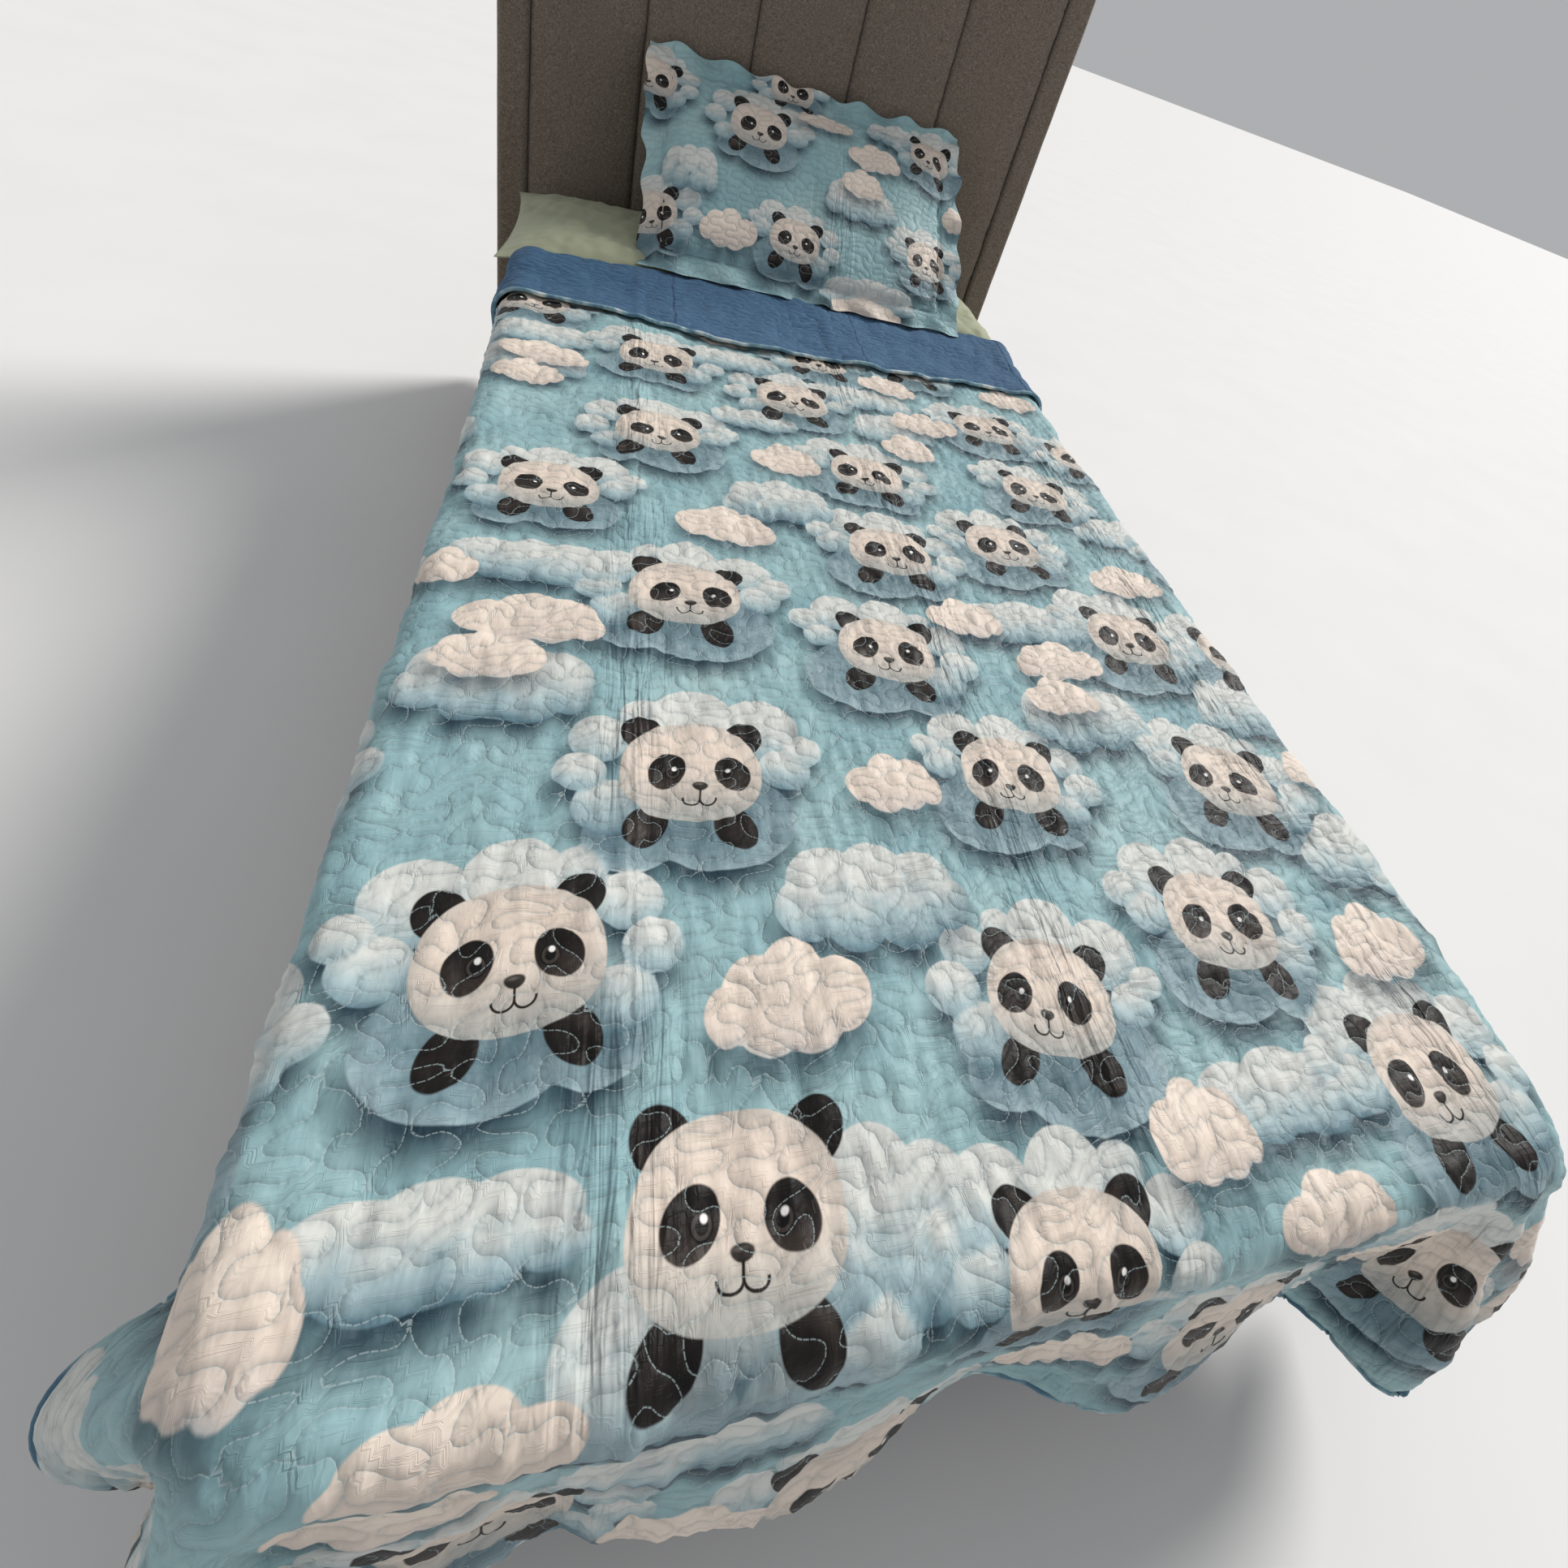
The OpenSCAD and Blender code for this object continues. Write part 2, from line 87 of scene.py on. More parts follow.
LEAN = np.array(frame["joints"][0]["axis"], float)   # square to the front of the sham
SHAM_X = np.array([1.0, 0.0, 0.0])
SHAM_Y = np.cross(LEAN, SHAM_X)
SHAM_CENTRE = (flange_low + flange_high) / 2 + LEAN * 0.0009 - SHAM_Y * 0.03 + SHAM_X * 0.01
SHAM_W = flange_high[0] - flange_low[0]
SHAM_H = 0.5
FLANGE = 0.048
PAD_W, PAD_H = SHAM_W / 2 - FLANGE, SHAM_H / 2 - FLANGE   # half sizes inside the flange
SHAM_LOFT = 0.032                       # from the seam to the front of the pad

# ---- numbers and noise ----


def smooth(x, low, high):
    """0 before low, 1 after high, and an S between them."""
    t = np.clip((x - low) / (high - low), 0, 1)
    return t * t * (3 - 2 * t)


def waves(x, y, scale, seed, count=22):
    """Smooth noise of about -1 to 1 whose bumps are about scale apart."""
    random = np.random.default_rng(seed)
    total = np.zeros(np.broadcast(x, y).shape)
    for _ in range(count):
        angle, phase = random.uniform(0, 2 * math.pi, 2)
        k = 2 * math.pi / scale * random.uniform(0.6, 1.5)
        total += np.sin(k * (np.cos(angle) * x + np.sin(angle) * y) + phase)
    return total / math.sqrt(count)


def unit(v):
    return v / np.maximum(np.linalg.norm(v, axis=-1, keepdims=True), 1e-12)


def grid_normals(points):
    """Normals of a (rows, columns, 3) sheet, on the side that rows x columns turn up."""
    return unit(np.cross(np.gradient(points, axis=1), np.gradient(points, axis=0)))


def spline_weights(t, count):
    """Rows of cubic B-spline weights at stations t, counted in control points."""
    i = np.clip(np.floor(t).astype(int), 0, count - 2)
    f = t - i
    basis = [(1 - f) ** 3 / 6, (3 * f ** 3 - 6 * f ** 2 + 4) / 6,
             (-3 * f ** 3 + 3 * f ** 2 + 3 * f + 1) / 6, f ** 3 / 6]
    table = np.zeros((len(t), count + 2))
    for k, b in enumerate(basis):
        table[np.arange(len(t)), i + k] += b
    table[:, 1] += 2 * table[:, 0]      # the points past each end go on in a straight line
    table[:, 2] -= table[:, 0]
    table[:, -2] += 2 * table[:, -1]
    table[:, -3] -= table[:, -1]
    return table[:, 1:-1]


# ---- meshes ----


def configure(target, **values):
    for name, value in values.items():
        setattr(target, name, value)


def add_object(name, data):
    obj = bpy.data.objects.new(name, data)
    bpy.context.scene.collection.objects.link(obj)
    return obj


def add_group(obj, name, mask):
    """A vertex group of the points where mask is true."""
    points = np.flatnonzero(mask.ravel()).tolist()
    obj.vertex_groups.new(name=name).add(points, 1.0, "REPLACE")


def grid_quads(rows, columns, start=0):
    i = np.arange(rows * columns).reshape(rows, columns) + start
    return np.stack([i[:-1, :-1], i[:-1, 1:], i[1:, 1:], i[1:, :-1]], -1).reshape(-1, 4)


def add_mesh(name, points, faces, material, body=None):
    mesh = bpy.data.meshes.new(name)
    mesh.from_pydata(np.asarray(points).reshape(-1, 3).tolist(), [], np.asarray(faces).tolist())
    mesh.shade_smooth()
    obj = add_object(name, mesh)
    if material:
        mesh.materials.append(material)
    if body:
        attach(obj, body)
    return obj


def add_grid(name, points, material, body):
    return add_mesh(name, points, grid_quads(*points.shape[:2]), material, body)


def tidy(obj, merge=1e-5):
    """Merges doubled points and turns the faces of a closed mesh outwards."""
    mesh = bmesh.new()
    mesh.from_mesh(obj.data)
    bmesh.ops.remove_doubles(mesh, verts=mesh.verts, dist=merge)
    bmesh.ops.recalc_face_normals(mesh, faces=mesh.faces)
    mesh.to_mesh(obj.data)
    mesh.free()
    return obj


def coordinates(mesh):
    """The points of a mesh, one to a row."""
    out = np.zeros(len(mesh.vertices) * 3)
    mesh.vertices.foreach_get("co", out)
    return out.reshape(-1, 3)


def set_vectors(obj, name, values, domain="POINT"):
    layer = obj.data.attributes.new(name, "FLOAT_VECTOR", domain)
    layer.data.foreach_set("vector", np.asarray(values, np.float32).ravel())


def set_pair(obj, name, a, b):
    """Gives a piece two numbers at every point, for its material to read."""
    a, b = np.broadcast_arrays(a, b)
    set_vectors(obj, name, np.stack([a, b, 0 * a], -1))


def stations(half, r, step):
    """Stations from -half to half, close together where an edge of radius r turns."""
    r = min(r, half * 0.98)
    turn = half - r + r * np.tan(np.linspace(0, math.pi / 4, 5))
    flat = np.linspace(-(half - r), half - r, max(2, int(2 * (half - r) / step) + 1))
    return np.concatenate([-turn[:0:-1], flat, turn[1:]])


def soft_block(name, low, high, r, step, material, body, shape=None):
    """A closed block with round edges. shape(p, s) moves its points p, whose places in the
    block are s, from -1 to 1 each way."""
    low, high = np.array(low, float), np.array(high, float)
    half = (high - low) / 2
    ticks = [stations(h, r, step) for h in half]
    points, faces, start = [], [], 0
    for axis in range(3):
        a, b = [k for k in range(3) if k != axis]
        ga, gb = np.meshgrid(ticks[a], ticks[b], indexing="ij")
        for side in (-1, 1):
            p = np.zeros(ga.shape + (3,))
            p[..., a], p[..., b], p[..., axis] = ga, gb, side * half[axis]
            faces.append(grid_quads(*ga.shape, start))
            points.append(p.reshape(-1, 3))
            start += ga.size
    p = np.concatenate(points)
    reach = np.minimum(r, half * 0.98)
    inner = np.clip(p, -(half - reach), half - reach)
    q = (p - inner) / reach
    p = inner + unit(q) * np.max(np.abs(q), axis=1, keepdims=True) * reach
    if shape:
        p = shape(p, p / half)
    return tidy(add_mesh(name, p + (low + high) / 2, np.concatenate(faces), material, body))


def bed_form(half, y0, y1, corner, edge, z_top, z_low, rise=None, step=0.03):
    """Points and faces of a bed-shaped shell, open below: round corners seen from above and
    a round edge on top. rise(y) lifts the top."""
    size = np.array([half, (y1 - y0) / 2])
    s = [stations(h, corner, step) for h in size]
    gx, gy = np.meshgrid(*s, indexing="xy")
    p = np.stack([gx, gy], -1)
    inner = np.clip(p, -(size - corner), size - corner)
    q = p - inner
    outward = unit(q)
    p = inner + outward * np.max(np.abs(q), -1, keepdims=True)
    z = np.full(gx.shape, z_top)
    rows, columns = gx.shape
    top = np.dstack([p, z]).reshape(-1, 3)
    i = np.arange(rows * columns).reshape(rows, columns)
    rim = np.concatenate([i[0, :-1], i[:-1, -1], i[-1, :0:-1], i[:0:-1, 0]])
    out = outward.reshape(-1, 2)[rim]
    points, faces = [top], [grid_quads(rows, columns)]
    previous, start = rim, rows * columns
    turns = [(edge * math.sin(t), edge * (1 - math.cos(t)))
             for t in np.linspace(0, math.pi / 2, 6)[1:]]
    depths = np.arange(edge + 0.02, z_top - z_low, 0.02).tolist() + [z_top - z_low]
    for forth, down in turns + [(edge, d) for d in depths]:
        ring = top[rim].copy()
        ring[:, :2] += out * forth
        ring[:, 2] -= down
        points.append(ring)
        now = np.arange(start, start + len(rim))
        faces.append(np.stack([previous, now, np.roll(now, -1), np.roll(previous, -1)], -1))
        previous, start = now, start + len(rim)
    points = np.concatenate(points)
    points[:, 1] += (y0 + y1) / 2
    if rise:
        lift = rise(points[:, 1])
        points[:, 2] += lift * smooth(points[:, 2], z_low, z_top)
    return points, np.concatenate(faces)


def tube(name, path, across, up, half_w, half_h, material, body, sides=8, closed=False):
    """A flattened tube along path, whose sections lie in the across and up directions."""
    t = np.linspace(0, 2 * math.pi, sides, endpoint=False)
    ring = (across[:, None] * (np.cos(t) * half_w)[None, :, None]
            + up[:, None] * (np.sin(t) * half_h)[None, :, None])
    points = path[:, None] + ring
    n = len(path)
    i = np.arange(n * sides).reshape(n, sides)
    if closed:
        i = np.concatenate([i, i[:1]])
    j = np.roll(i, -1, axis=1)
    faces = np.stack([i[:-1], j[:-1], j[1:], i[1:]], -1).reshape(-1, 4)
    return tidy(add_mesh(name, points, faces, material, body), 1e-7)


# ---- the quilting ----

ROW_GAP = 0.0285                        # between two rows of the meander
PERIOD = 0.0306                         # along a row, from knob to knob
WALK = 0.0712                           # length of thread in one period


def swirl(x, y, scale, seed, reach, steps=12, count=18):
    """Carries points along a smooth eddying flow, which bends lines but never crosses them."""
    random = np.random.default_rng(seed)
    angle, phase = random.uniform(0, 2 * math.pi, (2, count))
    k = 2 * math.pi / scale * random.uniform(0.6, 1.5, count)
    for _ in range(steps):
        vx, vy = 0, 0
        for a, p, n in zip(angle, phase, k):
            c = np.cos(n * (math.cos(a) * x + math.sin(a) * y) + p)
            vx, vy = vx + c * math.sin(a), vy - c * math.cos(a)
        x = x + vx * reach / steps / math.sqrt(count)
        y = y + vy * reach / steps / math.sqrt(count)
    return x, y


def stitch_rows(width, length, seed):
    """Every row of quilting as (points, tangents, run, row). A row runs lengthwise, with round
    knobs to either side in turn, which eddies bend so that no two are alike."""
    random = np.random.default_rng(seed)
    step = 0.0013
    periods = int(length / PERIOD) + 6
    run = np.arange(0, periods * WALK, step)
    turn = 2 * math.pi * run / WALK
    every = []
    for row in range(-2, int(width / ROW_GAP) + 3):
        swing = 2.03 + 0.10 * np.sin(turn * 0.37 + random.uniform(0, 6))
        heading = swing * 2 / math.pi * np.arcsin(0.985 * np.sin(turn + random.uniform(0, 6)))
        x = np.cumsum(np.sin(heading)) * step
        y = np.cumsum(np.cos(heading)) * step
        y = (y / y[-1] * periods - 3) * PERIOD
        x = x - np.polyval(np.polyfit(y, x, 3), y) + row * ROW_GAP - width / 2
        x, y = swirl(x, y, 0.09, seed + 1, 0.010)
        p = np.stack([x, y], -1)
        every.append((p, unit(np.gradient(p, axis=0)), run, row))
    return every


def stitch_field(u, v, rows):
    """For points on the flat cloth: the distance to the nearest row, with a sign that
    changes at each row, and how far along the thread the nearest stitch is."""
    p = np.concatenate([r[0] for r in rows])
    tangent = np.concatenate([r[1] for r in rows])
    run = np.concatenate([r[2] for r in rows])
    sign = np.concatenate([np.full(len(r[2]), 1.0 if r[3] % 2 else -1.0) for r in rows])
    near = np.abs(p[:, 0]) < np.abs(u).max() + 0.05
    p, tangent, run, sign = p[near], tangent[near], run[near], sign[near]
    tree = kdtree.KDTree(len(p))
    for k, (px, py) in enumerate(p.tolist()):
        tree.insert((px, py, 0.0), k)
    tree.balance()
    where = np.stack([u.ravel(), v.ravel()], -1)
    hit = np.array([tree.find((a, b, 0.0))[1] for a, b in where.tolist()])
    off = where - p[hit]
    t = tangent[hit]
    side = (t[:, 0] * off[:, 1] - t[:, 1] * off[:, 0]) * sign[hit]
    distance = np.linalg.norm(off, axis=1)
    distance = np.where(distance < 0.004, np.abs(side), distance) * np.sign(side)
    along = run[hit] + (off * t).sum(1)
    return distance.reshape(u.shape), along.reshape(u.shape)


def puff(distance, depth, reach=0.0065):
    """Height of the wadding over its deepest, from the distance to the quilting."""
    return depth * (1 - np.exp(-np.abs(distance) / reach))


# ---- the print ----

HEAD = 0.0580                           # half the width of a panda's head

# Panda: across, up, size, turn in degrees, and which way it looks, from -1 to 1.
# On the quilt these are measured from the mattress's middle and from its foot edge.
QUILT_PANDAS = [
    (-0.234, 0.072, 1.14, -4, 0.1), (-0.015, 0.004, 0.98, -5, 0.3), (-0.378, 0.243, 1.06, 6, 0.1),
    (0.03, 0.18, 0.96, -14, -0.4), (0.24, 0.235, 1.0, -5, 0.1), (0.375, 0.08, 1.05, 2, -0.4),
    (-0.248, 0.407, 1.06, -3, 0.4), (0.075, 0.405, 0.94, -8, -0.2), (0.363, 0.402, 1.0, -14, -0.5),
    (-0.245, 0.655, 1.04, -6, 0.4), (-0.02, 0.585, 1.0, -8, 0.1), (0.345, 0.64, 1.02, -8, -0.1),
    (-0.40, 0.84, 0.98, 0, 0.2), (0.03, 0.78, 1.0, -4, 0.4), (0.22, 0.83, 1.0, 4, 0.1),
    (-0.27, 1.01, 1.0, -3, 0.3), (0.04, 0.98, 1.0, -8, -0.3), (0.345, 1.0, 1.02, -12, -0.2),
    (-0.05, 1.19, 1.05, -3, 0.1), (0.32, 1.21, 1.04, -3, 0.2), (-0.27, 1.26, 1.0, -6, -0.1),
    (0.02, 1.37, 1.0, -2, 0.2), (0.22, 1.42, 0.98, -5, 0.0), (-0.47, 1.40, 1.0, 2, 0.2),
    (0.50, 1.15, 0.98, 4, 0.2), (0.52, 0.62, 0.98, -3, -0.2), (0.56, 0.86, 1.0, 5, 0.1),
    (0.58, 0.27, 1.0, -4, 0.3), (0.62, 1.44, 1.0, 3, -0.1), (0.74, 0.50, 1.0, 0, 0.2),
    (0.76, 1.04, 1.0, -5, -0.2), (0.76, 0.08, 0.98, 3, 0.1), (-0.60, 0.41, 1.0, 4, 0.3),
    (-0.59, 0.18, 0.96, -3, 0.2), (-0.62, 0.68, 1.0, 0, -0.2), (-0.63, 1.02, 0.98, 3, 0.1),
    (-0.62, 1.3, 1.0, -4, 0.2), (0.17, -0.14, 0.98, -4, 0.2), (0.40, -0.13, 1.0, 4, -0.2),
    (-0.13, -0.21, 1.0, 2, 0.2), (-0.37, -0.17, 0.98, -3, 0.3), (-0.62, -0.06, 1.0, 5, 0.1),
    (0.62, -0.16, 1.0, -6, 0.2),
]
# Clouds: across, up, width, height
QUILT_CREAM = [
    (-0.185, 0.20, 0.12, 0.085), (-0.06, 0.395, 0.095, 0.07), (-0.40, 0.595, 0.135, 0.07),
    (-0.43, 0.54, 0.095, 0.06), (-0.19, 0.80, 0.12, 0.075), (-0.09, 0.985, 0.10, 0.08),
    (-0.485, 0.665, 0.06, 0.05), (-0.435, 1.20, 0.12, 0.075), (-0.455, 1.13, 0.10, 0.07),
    (0.19, 1.185, 0.12, 0.085), (0.13, 1.085, 0.09, 0.08), (0.10, 0.655, 0.10, 0.07),
    (0.215, 0.585, 0.12, 0.075), (0.185, 0.52, 0.09, 0.06), (0.41, 0.77, 0.12, 0.075),
    (0.42, 0.20, 0.11, 0.08), (0.115, 0.07, 0.09, 0.07), (-0.49, 0.07, 0.07, 0.08),
    (-0.375, -0.005, 0.12, 0.05), (-0.41, -0.06, 0.10, 0.05), (0.20, 0.005, 0.11, 0.05),
    (0.51, 0.42, 0.10, 0.07), (0.55, 0.02, 0.11, 0.07), (0.68, 0.66, 0.11, 0.07),
    (0.64, 1.22, 0.12, 0.08), (0.15, 1.32, 0.11, 0.08), (-0.16, 1.40, 0.11, 0.07),
    (-0.35, 1.44, 0.12, 0.07), (-0.64, 0.30, 0.11, 0.07), (-0.62, 0.84, 0.12, 0.07),
    (-0.65, 1.16, 0.11, 0.07), (0.02, -0.13, 0.11, 0.07), (0.34, -0.1, 0.11, 0.07),
    (-0.24, -0.22, 0.11, 0.07), (0.56, -0.08, 0.10, 0.07), (0.42, 1.36, 0.12, 0.08),
]
QUILT_PALE = [
    (-0.155, 0.055, 0.15, 0.11), (-0.235, 0.01, 0.19, 0.11), (-0.42, 0.505, 0.155, 0.10),
    (-0.115, 0.865, 0.14, 0.10), (-0.40, 0.685, 0.16, 0.07),
    (-0.45, 1.27, 0.15, 0.09), (0.185, 0.655, 0.19, 0.08), (0.21, 0.49, 0.155, 0.10),
    (-0.105, 0.28, 0.155, 0.10), (0.205, 0.085, 0.17, 0.07), (-0.395, 0.085, 0.15, 0.06),
    (-0.455, 1.165, 0.15, 0.10), (0.12, 1.14, 0.14, 0.10), (0.47, 0.30, 0.13, 0.09),
    (0.46, 0.52, 0.13, 0.10), (0.10, 1.24, 0.15, 0.08), (0.45, 0.90, 0.14, 0.08),
    (0.62, 0.38, 0.14, 0.09), (0.66, 1.10, 0.14, 0.09), (-0.12, 1.10, 0.13, 0.07),
    (-0.14, 1.30, 0.15, 0.09), (0.40, 1.46, 0.15, 0.08), (-0.62, 0.50, 0.14, 0.09),
    (-0.56, 0.95, 0.12, 0.08), (-0.66, 0.02, 0.13, 0.08), (0.32, -0.05, 0.14, 0.08),
    (-0.25, -0.09, 0.15, 0.08), (0.62, 0.76, 0.14, 0.09), (0.70, 0.02, 0.14, 0.09),
]
QUILT_PRINT = (QUILT_PANDAS, QUILT_CREAM, QUILT_PALE)
SHAM_PANDAS = [
    (-0.12, 0.105, 1.0, -8, 0.3), (-0.035, -0.13, 0.9, -6, 0.2), (0.262, -0.095, 0.85, 6, 0.1),
    (0.27, 0.165, 0.85, -8, -0.3), (-0.335, 0.17, 0.85, -14, -0.2), (-0.325, -0.125, 0.95, 2, 0.3),
    (-0.05, 0.235, 0.8, 3, 0.1),
]
SHAM_CREAM = [
    (-0.168, -0.135, 0.11, 0.085), (0.13, 0.11, 0.12, 0.07), (0.105, 0.035, 0.09, 0.07),
    (0.02, 0.165, 0.12, 0.04), (0.13, -0.235, 0.15, 0.05), (0.33, 0.03, 0.05, 0.06),
]
SHAM_PALE = [
    (0.105, -0.01, 0.15, 0.09), (-0.25, -0.03, 0.10, 0.10), (0.13, -0.21, 0.20, 0.07),
    (0.18, 0.19, 0.12, 0.07),
]
SHAM_PRINT = (SHAM_PANDAS, SHAM_CREAM, SHAM_PALE)

# Puffs of a cloud: across, up, half width, half height, lightness, and how much lighter its
# top is. For a loose cloud they are parts of its width and height; for the cloud under a
# panda, parts of half a head's width. The front puffs overlap the back ones.
LOOSE_BACK = [(-0.24, 0.10, 0.24, 0.36, 0.78, 0.22), (0.30, 0.06, 0.22, 0.34, 0.74, 0.22),
              (0.05, -0.12, 0.30, 0.32, 0.58, 0.20)]
LOOSE_FRONT = [(0.04, 0.20, 0.22, 0.32, 0.88, 0.20), (-0.38, -0.14, 0.15, 0.26, 0.66, 0.24),
               (-0.13, -0.24, 0.16, 0.26, 0.58, 0.26), (0.19, -0.24, 0.18, 0.27, 0.56, 0.26),
               (0.42, -0.12, 0.13, 0.24, 0.62, 0.24)]
CREAM = [(-0.29, -0.04, 0.22, 0.34, 0.70, 0.10), (-0.02, 0.17, 0.22, 0.36, 0.80, 0.10),
         (0.24, 0.04, 0.21, 0.35, 0.74, 0.10), (-0.10, -0.20, 0.20, 0.30, 0.62, 0.12),
         (0.16, -0.20, 0.20, 0.30, 0.60, 0.12), (0.40, -0.14, 0.13, 0.25, 0.64, 0.12)]
BED_BACK = [(-1.00, 0.84, 0.60, 0.56, 0.80, 0.24), (0.76, 1.00, 0.30, 0.28, 0.76, 0.18),
            (1.32, 0.50, 0.44, 0.44, 0.76, 0.24), (-0.40, -0.86, 1.20, 0.86, 0.40, 0.02),
            (0.80, -1.15, 0.55, 0.46, 0.42, 0.02)]
BED_FRONT = [(0.02, 0.99, 0.58, 0.56, 0.90, 0.20), (-1.36, 0.08, 0.38, 0.36, 0.66, 0.26),
             (-1.68, 0.48, 0.31, 0.29, 0.76, 0.20), (1.54, -0.14, 0.40, 0.38, 0.72, 0.24),
             (1.10, -0.70, 0.44, 0.40, 0.62, 0.26)]


def puffs_of(table, x, y, w, h, turn, number):
    """The puffs of one cloud, each a little larger or smaller; some clouds are mirrored."""
    random = np.random.default_rng(number * 7 + len(table))
    a = math.radians(turn)
    flip = 1 if number % 3 else -1
    out = []
    for px, py, rx, ry, light, slope in table:
        k = random.uniform(0.88, 1.14)
        dx, dy = px * w * flip, py * h
        out.append((x + dx * math.cos(a) - dy * math.sin(a),
                    y + dx * math.sin(a) + dy * math.cos(a), rx * w * k, ry * h * k, light, slope))
    return out


def paint_puffs(u, v, puffs):
    """For points on the flat cloth: the distance to the outline of the puffs, how light the
    puff is there, and the shadow that the puffs throw below them."""
    u, v = u.ravel(), v.ravel()
    edge = np.full(len(u), 1.0)
    drop = np.full(len(u), 1.0)
    tone = np.zeros(len(u))
    weight = np.full(len(u), 1e-9)
    for x, y, rx, ry, light, slope in puffs:
        near = np.flatnonzero((np.abs(u - x) < rx + 0.05) & (np.abs(v - y) < ry + 0.07))
        pu, pv = u[near] - x, v[near] - y
        q = np.hypot(pu / rx, pv / ry)
        edge[near] = np.minimum(edge[near], (q - 1) * min(rx, ry))
        away = (np.hypot((pu + 0.004) / rx, (pv + 0.019) / ry) - 1) * min(rx, ry)
        drop[near] = np.minimum(drop[near], away)
        up = np.clip(pv / ry, -1.1, 1.1)
        rim = (0.10 if light < 0.5 else -0.10) * np.clip(q, 0, 1) ** 4
        share = np.exp(-16 * np.clip(q, 0, 1.6))
        tone[near] += share * (light + slope * up + rim)
        weight[near] += share
    return np.stack([edge, tone / weight, 1 - smooth(drop, -0.019, 0.015)], -1)


def print_layers(obj, u, v, pandas, cream, pale):
    """Gives a printed piece what its material reads: its flat cloth, its clouds, and for each
    corner of a face the place in the frame of the nearest panda."""
    back, front = [], []
    for k, (x, y, size, turn, _) in enumerate(pandas):
        if size > 1.1:
            continue            # the largest lies between loose clouds
        back += puffs_of(BED_BACK, x, y, HEAD * size, HEAD * size, turn, k)
        front += puffs_of(BED_FRONT, x, y, HEAD * size, HEAD * size, turn, k)
    for k, cloud in enumerate(pale):
        back += puffs_of(LOOSE_BACK, *cloud, 0, k + 50)
        front += puffs_of(LOOSE_FRONT, *cloud, 0, k + 50)
    white = [p for k, cloud in enumerate(cream) for p in puffs_of(CREAM, *cloud, 0, k + 90)]
    set_pair(obj, "flat", u, v)
    for name, puffs in (("cloud_back", back), ("cloud_front", front), ("cream", white)):
        set_vectors(obj, name, paint_puffs(u, v, puffs))
    mesh = obj.data
    corner = np.zeros(len(mesh.loops), np.int32)
    mesh.loops.foreach_get("vertex_index", corner)
    sides = np.zeros(len(mesh.polygons), np.int32)
    mesh.polygons.foreach_get("loop_total", sides)
    face = np.repeat(np.arange(len(sides)), sides)
    cu, cv = u.ravel()[corner], v.ravel()[corner]
    fu = np.bincount(face, cu) / sides
    fv = np.bincount(face, cv) / sides
    away = [(((fu - x) / 1.15) ** 4 + ((fv - y + 0.15 * HEAD * size) / 1.3) ** 4) / size ** 4
            for x, y, size, _, _ in pandas]
    own = np.argmin(away, axis=0)[face]
    data = np.array(pandas)[own]
    a = np.radians(data[:, 3])
    dx, dy = cu - data[:, 0], cv - data[:, 1]
    size = HEAD * data[:, 2]
    set_vectors(obj, "panda", np.stack([(dx * np.cos(a) + dy * np.sin(a)) / size,
                                        (dy * np.cos(a) - dx * np.sin(a)) / size,
                                        data[:, 4]], -1), "CORNER")


# ---- materials ----


def colour(code):
    """Linear colour of an sRGB code such as #A0B0C0."""
    parts = [int(code[k:k + 2], 16) / 255 for k in (1, 3, 5)]
    return tuple(c / 12.92 if c < 0.04045 else ((c + 0.055) / 1.055) ** 2.4 for c in parts) + (1,)


